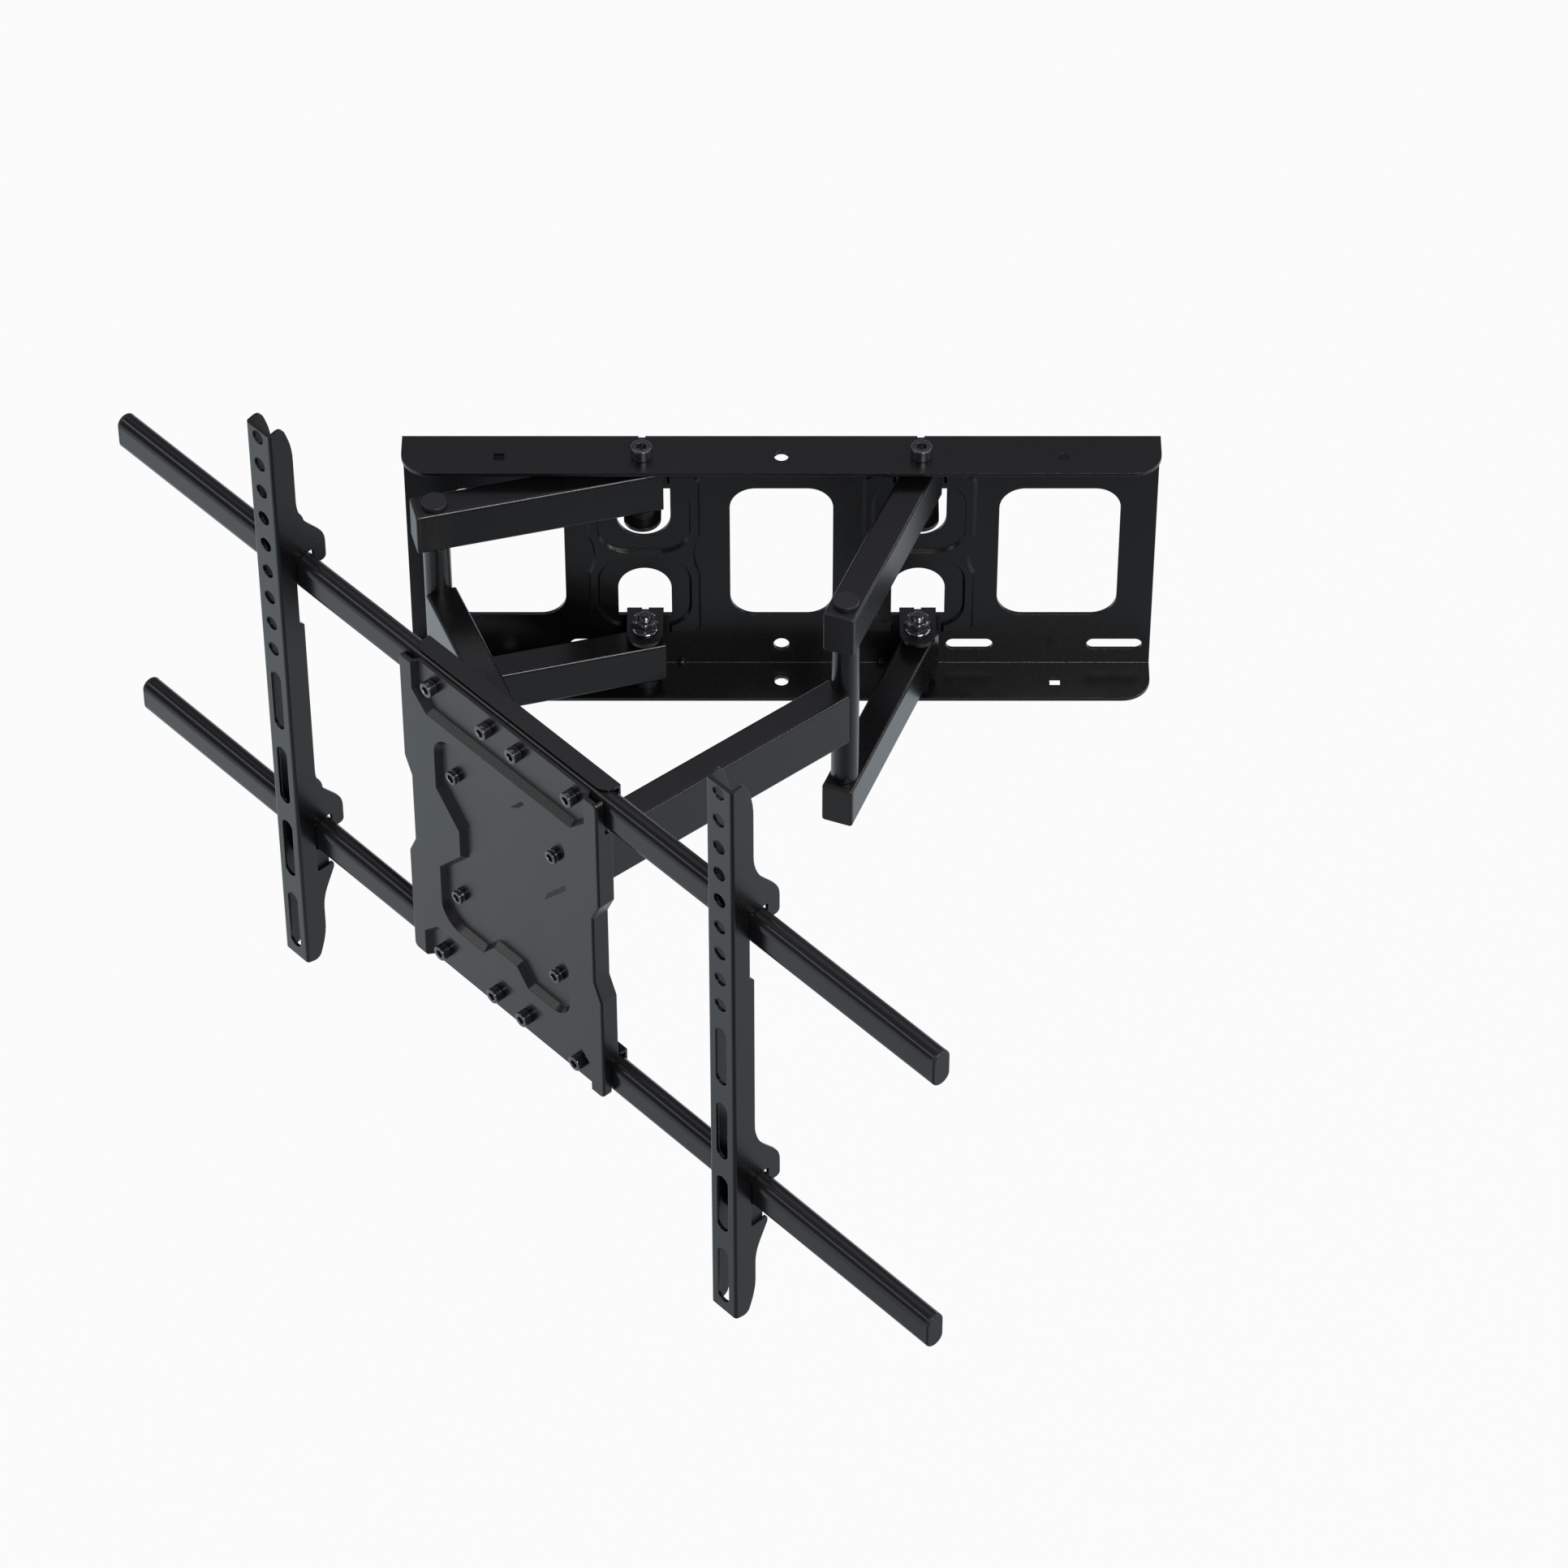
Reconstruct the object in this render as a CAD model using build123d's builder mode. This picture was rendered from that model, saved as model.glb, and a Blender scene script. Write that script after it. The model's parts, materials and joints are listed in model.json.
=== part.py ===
from build123d import *
import math
import os

# Full motion wall mount for a flat screen. Millimetres, +Z up.
# The origin is the centre of the wall plate's back face, and +Y points into the wall.

# Wall plate: a pressed channel with its flanges towards the room
plate_width = 465.0
plate_height = 193.0
plate_sheet = 2.5
flange_depth = 35.0
plate_bend = 1.0
plate_outer_bend = 1.2
flange_corner = 18.0

# Wall pivots, mirrored left and right
wall_pivot_spacing = 171.0
wall_pivot_depth = 19.0

# Windows and screw slots in the web
window_margin = 42.95
window_rise = 1.05
window_corner = 16.0
middle_window_width = 64.0
side_window_width = 75.0
side_window_centre = 172.5
screw_margin = 18.5
centre_hole = 10.0
slot_width = 9.0
inner_slot_centre = 118.5
inner_slot_length = 29.5
outer_slot_centre = 210.0
outer_slot_length = 35.0

# Holes in the two flanges
flange_hole = 9.0
cover_hole = 6.6
cover_hole_centre = 172.5
cover_hole_depth = 19.8
bend_notch = 6.0
bend_dimple = 2.8
bend_dimple_centre = 63.0

# Arm lugs, cut out of the web and bent towards the room
lug_opening_width = 33.4
lug_opening_inner = 13.35
lug_width = 23.0
lug_reach = 35.0
lug_bend = 1.0

# Pressed ridge round each pair of lugs
ridge_width = 70.0
ridge_margin = 29.5
ridge_band = 7.0
ridge_rise = 2.0
ridge_slope = 35.0
ridge_waist = 3.4
ridge_waist_height = 30.0
ridge_gap = 30.0
ridge_corner = 7.0
ridge_arch = 18.0

# Pivot screws, nuts, rings and sleeves
screw_size = 8.0
screw_head = 13.0
screw_head_height = 8.0
screw_key = 6.0
screw_key_depth = 4.0
screw_hole_play = 0.2
running_play = 0.05
nut_across = 13.0
nut_height = 6.0
nut_flange = 17.9
nut_flange_height = 2.0
thread_end = 3.0
ring_outside = 15.5
ring_height = 6.5
sleeve_outside = 12.0
face_play = 0.25

# Rear arms: two tubes each
arm_width = 20.0
rear_tube_height = 30.0
tube_wall = 2.0
tube_corner = 2.0
rear_arm_length = 130.0
tube_end = 11.0
cap_thickness = 2.6
cap_depth = 4.0
cap_play = 0.15

# Elbows
post_diameter = 17.0
elbow_pin = 10.0
elbow_pin_depth = 21.0
elbow_washer = 1.0
elbow_disc = 16.0
elbow_disc_height = 3.0

# Front arms: one tube each, welded to the elbow post
front_arm_length = 195.5
front_tube_height = 40.0
front_tube_start = 5.3
front_tube_end = 10.5
head_pivot_play = 0.8

# Head: carried at the end of the right arm, which stands almost straight
right_arm_heading = -128.93704
right_elbow_bend = 150.27554
head_turn = 47.33
head_pivot_spacing = 40.0
head_pivot_back = 40.0

# Rails: flat-sided oval tubes in two halves
rail_spacing = 223.0
rail_height = 25.4
rail_depth = 13.0
rail_wall = 1.6
rail_length = 721.0
rail_seam = 0.5
rail_cap = 2.5
rail_cap_depth = 12.0

# Channels that hold the rail halves from behind
channel_length = 169.0
channel_sheet = 1.6
channel_flange = 12.0
channel_corner = 8.0
channel_play = 0.15

# Head plate: pressed, with a raised field
head_plate_width = 175.0
head_plate_rim = 12.5
head_sheet = 2.5
field_rise = 4.5
field_slope = 34.0
field_bend = 1.5
waist_width = 163.0
waist_height = 54.0
waist_slope = 13.5
head_corner = 4.0
lip_depth = 12.0
lip_corner = 4.0
rail_lip_play = 0.8
band_width = 150.0
band_reach = 20.0
band_chamfer = 11.5
pocket_width = 114.0
pocket_gap = 13.5
pocket_notch = 20.0
pocket_notch_height = 22.0
pocket_notch_slope = 23.0
pocket_dip = 12.0
pocket_dip_width = 22.0
pocket_dip_slope = 10.0
pocket_corner = 15.0

# Screws through the head plate
rail_screw = 6.0
rail_screw_head = 10.0
rail_screw_head_height = 6.0
rail_screw_key = 5.0
rail_screw_inner = 26.6
rail_screw_outer = 124.0
rail_nut_across = 10.0
rail_nut_height = 5.0
plate_screw_width = 89.0
plate_screw_height = 101.0
plate_screw_head = 9.0
plate_screw_head_height = 4.5

# Swivel yoke and tilt bracket behind the head plate
yoke_sheet = 3.0
yoke_width = 62.0
yoke_back = 13.0
yoke_corner = 12.0
yoke_web_gap = 18.0
yoke_washer = 1.25
tilt_axis_back = 9.0
yoke_ear_height = 36.0
yoke_ear_front = 8.0
tilt_sheet = 3.0
tilt_width = 104.0
tilt_height = 124.0
tilt_corner = 10.0
tilt_ear_height = 44.0
tilt_ear_back = 10.0
tilt_ear_play = 0.3

# Screen brackets: hooked channels that slide on the rails
bracket_spacing = 400.0
bracket_top = 228.4
bracket_bottom = -214.4
bracket_width = 21.6
bracket_sheet = 2.2
bracket_front = 19.9
bracket_corner = 2.0
flange_back = 3.7
hook_back = -16.0
hook_drop = 0.5
hook_rise = 21.0
hook_root = 44.7
hook_round = 19.0
hook_root_round = 35.0
hook_tip_round = 3.0
rail_play = 0.5
notch_drop = 39.0
notch_step = 3.0
lower_notch_drop = 29.4
lower_lip_back = -6.0
lower_lip_height = 25.0
lower_lip_round = 40.0
bracket_end_front = 10.0
bracket_end_rise = 2.4
bracket_end_round = 5.0
bracket_end_height = 16.0
bracket_end_sweep = 60.0
rail_stop_front = 6.0
rail_stop_back = -4.0
bracket_hole = 9.6
bracket_hole_pitch = 21.33
bracket_hole_first = 5.9
bracket_holes = 9
bracket_slot_length = 47.4
bracket_slot_first = 8.6
bracket_slot_pitch = 63.8
bracket_slots = 4

os.makedirs("parts", exist_ok=True)


def keep(piece, label):
    """Name a finished piece and write it."""
    piece.label = label
    export_step(piece, f"parts/{label}.step")


def elbow_between(start, end, side):
    """The elbow of a rear and a front arm that join two pivots."""
    reach_x = end[0] - start[0]
    reach_y = end[1] - start[1]
    reach = math.hypot(reach_x, reach_y)
    along = (rear_arm_length**2 - front_arm_length**2 + reach**2) / (2 * reach)
    across = side * math.sqrt(rear_arm_length**2 - along**2)
    return (
        start[0] + (along * reach_x - across * reach_y) / reach,
        start[1] + (along * reach_y + across * reach_x) / reach,
    )


def arm_plane(start, end, height):
    """A level plane at one pivot, with its X axis towards the next one."""
    heading = (end[0] - start[0], end[1] - start[1], 0)
    return Plane(origin=(start[0], start[1], height), x_dir=heading, z_dir=(0, 0, 1))


# The linkage in plan: wall pivots, head pivots, and the elbows that join them
turn = math.radians(head_turn)
along_rails = Vector(math.cos(turn), -math.sin(turn), 0)
to_room = Vector(-math.sin(turn), -math.cos(turn), 0)
left_wall = (-wall_pivot_spacing / 2, -wall_pivot_depth)
right_wall = (wall_pivot_spacing / 2, -wall_pivot_depth)
arm_heading = math.radians(right_arm_heading)
arm_reach = math.sqrt(
    rear_arm_length**2
    + front_arm_length**2
    - 2 * rear_arm_length * front_arm_length * math.cos(math.radians(right_elbow_bend))
)
right_head = (
    right_wall[0] + arm_reach * math.cos(arm_heading),
    right_wall[1] + arm_reach * math.sin(arm_heading),
)
left_head = (
    right_head[0] - head_pivot_spacing * along_rails.X,
    right_head[1] - head_pivot_spacing * along_rails.Y,
)
left_elbow = elbow_between(left_wall, left_head, -1)
right_elbow = elbow_between(right_wall, right_head, 1)

# The head's middle lies on the rails' centre plane, in front of its two pivots
pivot_line = (Vector(*left_head) + Vector(*right_head)) / 2
head_middle = pivot_line + to_room * head_pivot_back
head = Plane(origin=head_middle, x_dir=along_rails, z_dir=to_room)
head_side = Plane(origin=head_middle, x_dir=-to_room, z_dir=along_rails)

# Heights that the arms, lugs and flanges share
flange_inside = plate_height / 2 - plate_sheet
lug_height = flange_inside - rear_tube_height - 2 * (ring_height + face_play)
tube_middle = (flange_inside + lug_height) / 2
tube_inner = tube_middle - rear_tube_height / 2
tube_outer = tube_middle + rear_tube_height / 2
lug_inside = lug_height - plate_sheet
sleeve_bore = screw_size + 2 * running_play
window_height = plate_height - 2 * window_margin
window_edge = window_height / 2
screw_row = plate_height / 2 - screw_margin
ridge_height = plate_height - 2 * ridge_margin
waist_radius = ((ridge_waist_height / 2) ** 2 + ridge_waist**2) / (2 * ridge_waist)

# Wall plate
with BuildPart() as wall_plate:
    with BuildSketch(Plane.YZ.offset(-plate_width / 2)):
        Rectangle(flange_depth, plate_height, align=(Align.MAX, Align.CENTER))
        with Locations((-plate_sheet, 0)):
            Rectangle(
                flange_depth,
                plate_height - 2 * plate_sheet,
                align=(Align.MAX, Align.CENTER),
                mode=Mode.SUBTRACT,
            )
    extrude(amount=plate_width)
    bends = wall_plate.edges().filter_by(Axis.X).group_by(Axis.Y)
    fillet(bends[-1], plate_outer_bend)
    inner_bends = wall_plate.edges().filter_by(Axis.X).filter_by(
        lambda edge: abs(edge.center().Y + plate_sheet) < plate_sheet / 4
        and abs(abs(edge.center().Z) - flange_inside) < plate_sheet / 4
    )
    fillet(inner_bends, plate_bend)
    fillet(wall_plate.edges().filter_by(Axis.Z).group_by(Axis.Y)[0], flange_corner)
    # Pressed ridge: raised at the front and hollow behind
    for hollow in (False, True):
        inset = plate_sheet / 2 if hollow else 0
        start = 0 if hollow else plate_sheet
        with BuildSketch(Plane.XZ.offset(start)) as ridge:
            for pivot in (left_wall, right_wall):
                with Locations((pivot[0], 0)):
                    RectangleRounded(
                        ridge_width - 2 * inset, ridge_height - 2 * inset, ridge_corner
                    )
                    for end in (-1, 1):
                        field = ridge_height / 2 - 1.5 * ridge_band
                        with Locations((0, end * (ridge_band / 2 + field / 2))):
                            RectangleRounded(
                                ridge_width - 2 * ridge_band + 2 * inset,
                                field + 2 * inset,
                                ridge_arch - inset,
                                mode=Mode.SUBTRACT,
                            )
                        with Locations((0, end * ridge_height / 2)):
                            Rectangle(
                                ridge_gap + 2 * inset, 3 * ridge_band, mode=Mode.SUBTRACT
                            )
                        waist_centre = ridge_width / 2 - ridge_waist + waist_radius
                        with Locations((end * waist_centre, 0)):
                            Circle(waist_radius + inset, mode=Mode.SUBTRACT)
        if hollow:
            extrude(amount=ridge_rise, taper=ridge_slope, mode=Mode.SUBTRACT)
        else:
            extrude(amount=ridge_rise, taper=ridge_slope)
    # Windows, lug openings, and slots for the wall screws
    with BuildSketch(Plane.XZ):
        with Locations((0, window_rise)):
            RectangleRounded(middle_window_width, window_height, window_corner)
            with GridLocations(2 * side_window_centre, 0, 2, 1):
                RectangleRounded(side_window_width, window_height, window_corner)
        for pivot in (left_wall, right_wall):
            for end in (-1, 1):
                arch_centre = lug_opening_inner + lug_opening_width / 2
                with Locations((pivot[0], window_rise + end * arch_centre)):
                    Circle(lug_opening_width / 2)
                opening_middle = window_rise + end * (arch_centre + window_edge) / 2
                with Locations((pivot[0], opening_middle)):
                    Rectangle(lug_opening_width, window_edge - arch_centre)
        with GridLocations(0, 2 * screw_row, 1, 2):
            Circle(centre_hole / 2)
        with GridLocations(2 * inner_slot_centre, 2 * screw_row, 2, 2):
            SlotOverall(inner_slot_length, slot_width)
        with GridLocations(2 * outer_slot_centre, 2 * screw_row, 2, 2):
            SlotOverall(outer_slot_length, slot_width)
    extrude(amount=plate_sheet + 2 * ridge_rise, mode=Mode.SUBTRACT)
    # Lugs: each stands on the web at the outer end of its opening
    for end in (-1, 1):
        lug_plane = Plane.XY.offset(lug_inside if end > 0 else -lug_height)
        with BuildSketch(lug_plane):
            for pivot in (left_wall, right_wall):
                round_centre = lug_reach - lug_width / 2
                with Locations((pivot[0], -round_centre)):
                    Circle(lug_width / 2)
                with Locations((pivot[0], -round_centre / 2)):
                    Rectangle(lug_width, round_centre)
        extrude(amount=plate_sheet)
        with BuildSketch(Plane.XZ):
            for pivot in (left_wall, right_wall):
                tab_height = window_edge + end * window_rise - lug_inside
                with Locations((pivot[0], end * (lug_inside + tab_height / 2))):
                    Rectangle(lug_width, tab_height)
        extrude(amount=plate_sheet)
    lug_bends = wall_plate.edges().filter_by(Axis.X).filter_by(
        lambda edge: abs(edge.center().Y) < plate_sheet / 4
        and abs(abs(edge.center().Z) - lug_inside) < plate_sheet / 4
    )
    fillet(lug_bends, lug_bend)
    # Holes for the pivot screws, and the plain holes in the flanges
    with BuildSketch(Plane.XY.offset(-plate_height / 2)):
        with Locations(left_wall, right_wall):
            Circle((screw_size + screw_hole_play) / 2)
        with Locations((0, -wall_pivot_depth)):
            Circle(flange_hole / 2)
        with Locations((0, -cover_hole_depth)):
            with GridLocations(2 * cover_hole_centre, 0, 2, 1):
                Rectangle(cover_hole, cover_hole)
    extrude(amount=plate_height, mode=Mode.SUBTRACT)
    # Small notches in the flange and lug bends, and dimples in the lower bend
    notch_height = plate_sheet + plate_bend
    for base in (
        -plate_height / 2,
        plate_height / 2 - notch_height,
        lug_inside,
        -lug_inside - notch_height,
    ):
        with BuildSketch(Plane.XY.offset(base)):
            with Locations((left_wall[0], 0), (right_wall[0], 0)):
                RegularPolygon(bend_notch / 2, 4, rotation=45)
        extrude(amount=notch_height, mode=Mode.SUBTRACT)
    dimple_inset = bend_dimple - plate_sheet + plate_bend / 4
    for x in (-bend_dimple_centre, bend_dimple_centre):
        with Locations((x, -plate_sheet - dimple_inset, dimple_inset - flange_inside)):
            Sphere(bend_dimple)
keep(wall_plate.part, "wall_plate")

# Wall pivot screws: heads outside the flanges, threaded ends past the lug nuts
shank_end = lug_inside - nut_flange_height - nut_height - thread_end


def pivot_screw(top, bottom):
    """An upright socket head screw, its head standing on the top level."""
    with BuildPart() as screw:
        with BuildSketch(Plane.XY.offset(min(top, bottom))):
            Circle(screw_size / 2)
        extrude(amount=abs(top - bottom))
        head_base = top if top > bottom else top - screw_head_height
        with BuildSketch(Plane.XY.offset(head_base)):
            Circle(screw_head / 2)
        extrude(amount=screw_head_height)
        key_base = top - screw_head_height
        if top > bottom:
            key_base = top + screw_head_height - screw_key_depth
        with BuildSketch(Plane.XY.offset(key_base)):
            RegularPolygon(screw_key / 2, 6, major_radius=False)
        extrude(amount=screw_key_depth, mode=Mode.SUBTRACT)
    return screw.part


for level, end in (("upper", 1), ("lower", -1)):
    wall_screw = pivot_screw(end * plate_height / 2, end * shank_end)
    with BuildPart() as wall_screws:
        for pivot in (left_wall, right_wall):
            add(Pos(pivot[0], pivot[1]) * wall_screw)
    keep(wall_screws.part, f"{level}_wall_pivot_screws")

# Flange nuts inside the lugs
with BuildPart() as wall_nuts:
    for end in (-1, 1):
        flange_base = lug_inside - nut_flange_height
        hex_base = flange_base - nut_height
        with BuildSketch(Plane.XY.offset(flange_base if end > 0 else -lug_inside)):
            with Locations(left_wall, right_wall):
                Circle(nut_flange / 2)
                Circle(screw_size / 2, mode=Mode.SUBTRACT)
        extrude(amount=nut_flange_height)
        with BuildSketch(Plane.XY.offset(hex_base if end > 0 else -flange_base)):
            with Locations(left_wall, right_wall):
                RegularPolygon(nut_across / 2, 6, major_radius=False)
                Circle(screw_size / 2, mode=Mode.SUBTRACT)
        extrude(amount=nut_height)
keep(wall_nuts.part, "wall_pivot_nuts")

# Rings that hold the rear tubes midway between lug and flange
for label, inner, outer in (
    ("lug_rings", lug_height, lug_height + ring_height),
    ("flange_rings", flange_inside - ring_height, flange_inside),
):
    with BuildPart() as rings:
        for base in (inner, -outer):
            with BuildSketch(Plane.XY.offset(base)):
                with Locations(left_wall, right_wall):
                    Circle(ring_outside / 2)
                    Circle((screw_size + screw_hole_play) / 2, mode=Mode.SUBTRACT)
            extrude(amount=outer - inner)
    keep(rings.part, label)


def rear_tube(start, end, base):
    """One square-cut tube of a rear arm, bored for its sleeve and its elbow pin."""
    with BuildPart() as tube:
        plane = arm_plane(start, end, base)
        middle = rear_tube_height / 2
        length = rear_arm_length + 2 * tube_end
        level = Plane(plane.origin, x_dir=plane.y_dir, z_dir=plane.x_dir)
        with BuildSketch(level.offset(-tube_end)):
            with Locations((0, middle)):
                RectangleRounded(arm_width, rear_tube_height, tube_corner)
                RectangleRounded(
                    arm_width - 2 * tube_wall,
                    rear_tube_height - 2 * tube_wall,
                    tube_corner / 2,
                    mode=Mode.SUBTRACT,
                )
        extrude(amount=length)
        with BuildSketch(plane):
            Circle(sleeve_outside / 2)
            with Locations((rear_arm_length, 0)):
                Circle(elbow_pin / 2)
        extrude(amount=rear_tube_height, mode=Mode.SUBTRACT)
    return tube.part


def tube_cap(plane, height):
    """A plastic cap on a tube's end: a rounded face and a plug between the walls."""
    with BuildPart() as cap:
        with BuildSketch(plane):
            RectangleRounded(arm_width, height, tube_corner)
        extrude(amount=cap_thickness)
        face_edges = cap.edges().filter_by(
            lambda edge: abs(plane.to_local_coords(edge.center()).Z - cap_thickness) < 0.01
        )
        fillet(face_edges, cap_thickness / 2)
        with BuildSketch(plane):
            RectangleRounded(
                arm_width - 2 * tube_wall - 2 * cap_play,
                height - 2 * tube_wall - 2 * cap_play,
                tube_corner / 2,
            )
        extrude(amount=-cap_depth)
    return cap.part


def across_arm(start, end, distance, height):
    """A plane square to an arm, at a distance from its first pivot."""
    level = arm_plane(start, end, height)
    upright = Plane(level.origin, x_dir=level.y_dir, z_dir=level.x_dir)
    return upright.offset(distance)


# Rear arms, left and right
post_half = tube_inner - elbow_washer
for side, pivot, elbow in (
    ("left", left_wall, left_elbow),
    ("right", right_wall, right_elbow),
):
    keep(rear_tube(pivot, elbow, tube_inner), f"{side}_rear_upper_tube")
    keep(rear_tube(pivot, elbow, -tube_outer), f"{side}_rear_lower_tube")
    tip = rear_arm_length + tube_end
    with BuildPart() as rear_caps:
        for end in (-1, 1):
            add(tube_cap(across_arm(pivot, elbow, tip, end * tube_middle), rear_tube_height))
    keep(rear_caps.part, f"{side}_rear_end_caps")
    with BuildPart() as sleeves:
        for base in (tube_inner, -tube_outer):
            with BuildSketch(arm_plane(pivot, elbow, base)):
                Circle(sleeve_outside / 2)
                Circle(sleeve_bore / 2, mode=Mode.SUBTRACT)
            extrude(amount=rear_tube_height)
    keep(sleeves.part, f"{side}_wall_sleeves")
    pin_tip = post_half - elbow_pin_depth
    with BuildPart() as pins:
        for base in (pin_tip, -tube_outer):
            with BuildSketch(arm_plane(elbow, pivot, base)):
                Circle(elbow_pin / 2)
            extrude(amount=tube_outer - pin_tip)
    keep(pins.part, f"{side}_elbow_pins")
    with BuildPart() as discs:
        for base in (tube_outer, -tube_outer - elbow_disc_height):
            with BuildSketch(arm_plane(elbow, pivot, base)):
                Circle(elbow_disc / 2)
            extrude(amount=elbow_disc_height)
        rims = discs.edges().filter_by(GeomType.CIRCLE).filter_by(
            lambda edge: abs(edge.center().Z) > tube_outer + elbow_disc_height / 2
        )
        fillet(rims, elbow_disc_height / 4)
    keep(discs.part, f"{side}_elbow_discs")

# Front arms: an elbow post and the tube welded to it
for side, elbow, pivot, bore in (
    ("left", left_elbow, left_head, sleeve_bore),
    ("right", right_elbow, right_head, screw_size + 2 * head_pivot_play),
):
    with BuildPart() as post:
        with BuildSketch(arm_plane(elbow, pivot, -post_half)):
            Circle(post_diameter / 2)
            Circle(elbow_pin / 2 + running_play, mode=Mode.SUBTRACT)
        extrude(amount=2 * post_half)
    keep(post.part, f"{side}_elbow_post")
    with BuildPart() as washers:
        for base in (post_half, face_play - tube_inner):
            with BuildSketch(arm_plane(elbow, pivot, base)):
                Circle(post_diameter / 2)
                Circle(elbow_pin / 2 + running_play, mode=Mode.SUBTRACT)
            extrude(amount=elbow_washer - face_play)
    keep(washers.part, f"{side}_elbow_washers")
    with BuildPart() as front_tube:
        with BuildSketch(across_arm(elbow, pivot, front_tube_start, 0)):
            RectangleRounded(arm_width, front_tube_height, tube_corner)
            RectangleRounded(
                arm_width - 2 * tube_wall,
                front_tube_height - 2 * tube_wall,
                tube_corner / 2,
                mode=Mode.SUBTRACT,
            )
        extrude(amount=front_arm_length + front_tube_end - front_tube_start)
        with BuildSketch(arm_plane(elbow, pivot, -front_tube_height / 2)):
            Circle(post_diameter / 2)
            with Locations((front_arm_length, 0)):
                Circle(sleeve_outside / 2)
        extrude(amount=front_tube_height, mode=Mode.SUBTRACT)
    keep(front_tube.part, f"{side}_front_tube")
    tip = front_arm_length + front_tube_end
    keep(
        tube_cap(across_arm(elbow, pivot, tip, 0), front_tube_height),
        f"{side}_front_end_cap",
    )
    with BuildPart() as head_sleeve:
        with BuildSketch(arm_plane(pivot, elbow, -front_tube_height / 2)):
            Circle(sleeve_outside / 2)
            Circle(bore / 2, mode=Mode.SUBTRACT)
        extrude(amount=front_tube_height)
    keep(head_sleeve.part, f"{side}_head_sleeve")

# Swivel yoke: a box of sheet open to the back, with ears for the tilt screws
head_level = Plane(origin=head_middle, x_dir=along_rails, z_dir=(0, 0, 1))
yoke_inside = front_tube_height / 2 + face_play + yoke_washer
yoke_half = yoke_inside + yoke_sheet
web_back = head_pivot_back - yoke_web_gap
web_front = web_back - yoke_sheet
head_pivots = ((-head_pivot_spacing / 2, head_pivot_back), (head_pivot_spacing / 2, head_pivot_back))
with BuildPart() as swivel_yoke:
    with BuildSketch(head_level.offset(-yoke_half)):
        with Locations((0, web_front)):
            Rectangle(yoke_width, web_back - web_front, align=(Align.CENTER, Align.MIN))
    extrude(amount=2 * yoke_half)
    for base in (yoke_inside, -yoke_half):
        with BuildSketch(head_level.offset(base)) as leaf:
            with Locations((0, web_front)):
                Rectangle(
                    yoke_width,
                    head_pivot_back + yoke_back - web_front,
                    align=(Align.CENTER, Align.MIN),
                )
            fillet(leaf.vertices().group_by(Axis.Y)[-1], yoke_corner)
            with Locations(*head_pivots):
                Circle((screw_size + screw_hole_play) / 2, mode=Mode.SUBTRACT)
        extrude(amount=yoke_sheet)
    for start in (-yoke_width / 2, yoke_width / 2 - yoke_sheet):
        with BuildSketch(head_side.offset(start)) as ear:
            with Locations((web_back, 0)):
                Rectangle(
                    web_back - tilt_axis_back + yoke_ear_front,
                    yoke_ear_height,
                    align=(Align.MAX, Align.CENTER),
                )
            fillet(ear.vertices().group_by(Axis.X)[0], yoke_ear_front / 2)
            with Locations((tilt_axis_back, 0)):
                Circle((screw_size + screw_hole_play) / 2, mode=Mode.SUBTRACT)
        extrude(amount=yoke_sheet)
keep(swivel_yoke.part, "swivel_yoke")

with BuildPart() as head_washers:
    for base in (front_tube_height / 2 + face_play, -yoke_inside):
        with BuildSketch(head_level.offset(base)):
            with Locations(*head_pivots):
                Circle(ring_outside / 2)
                Circle((screw_size + screw_hole_play) / 2, mode=Mode.SUBTRACT)
        extrude(amount=yoke_washer)
keep(head_washers.part, "head_pivot_washers")

head_screw = pivot_screw(yoke_half, -yoke_half - nut_flange_height - nut_height - thread_end)
with BuildPart() as head_screws:
    for pivot in (left_head, right_head):
        add(Pos(pivot[0], pivot[1]) * head_screw)
keep(head_screws.part, "head_pivot_screws")

with BuildPart() as head_nuts:
    with BuildSketch(head_level.offset(-yoke_half)):
        with Locations(*head_pivots):
            Circle(nut_flange / 2)
            Circle(screw_size / 2, mode=Mode.SUBTRACT)
    extrude(amount=-nut_flange_height)
    with BuildSketch(head_level.offset(-yoke_half - nut_flange_height)):
        with Locations(*head_pivots):
            RegularPolygon(nut_across / 2, 6, major_radius=False)
            Circle(screw_size / 2, mode=Mode.SUBTRACT)
    extrude(amount=-nut_height)
keep(head_nuts.part, "head_pivot_nuts")

# Depths of the head's layers, counted towards the room from the rails' centre plane
rail_front = rail_depth / 2
tilt_front = rail_front
tilt_back = tilt_front - tilt_sheet
recess_front = rail_front + head_sheet
field_front = recess_front + field_rise
ear_inside = yoke_width / 2 + tilt_ear_play
ear_outside = ear_inside + tilt_sheet

# Tilt bracket: a base plate behind the head plate, and two ears
with BuildPart() as tilt_bracket:
    with BuildSketch(head.offset(tilt_back)):
        RectangleRounded(tilt_width, tilt_height, tilt_corner)
        with GridLocations(plate_screw_width, plate_screw_height, 2, 2):
            Circle((rail_screw + screw_hole_play) / 2, mode=Mode.SUBTRACT)
    extrude(amount=tilt_sheet)
    for start in (-ear_outside, ear_inside):
        with BuildSketch(head_side.offset(start)) as ear:
            with Locations((-tilt_back, 0)):
                Rectangle(
                    tilt_back + tilt_axis_back + tilt_ear_back,
                    tilt_ear_height,
                    align=(Align.MIN, Align.CENTER),
                )
            fillet(ear.vertices().group_by(Axis.X)[-1], tilt_ear_back)
            with Locations((tilt_axis_back, 0)):
                Circle(screw_size / 2 + running_play, mode=Mode.SUBTRACT)
        extrude(amount=tilt_sheet)
keep(tilt_bracket.part, "tilt_bracket")

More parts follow.
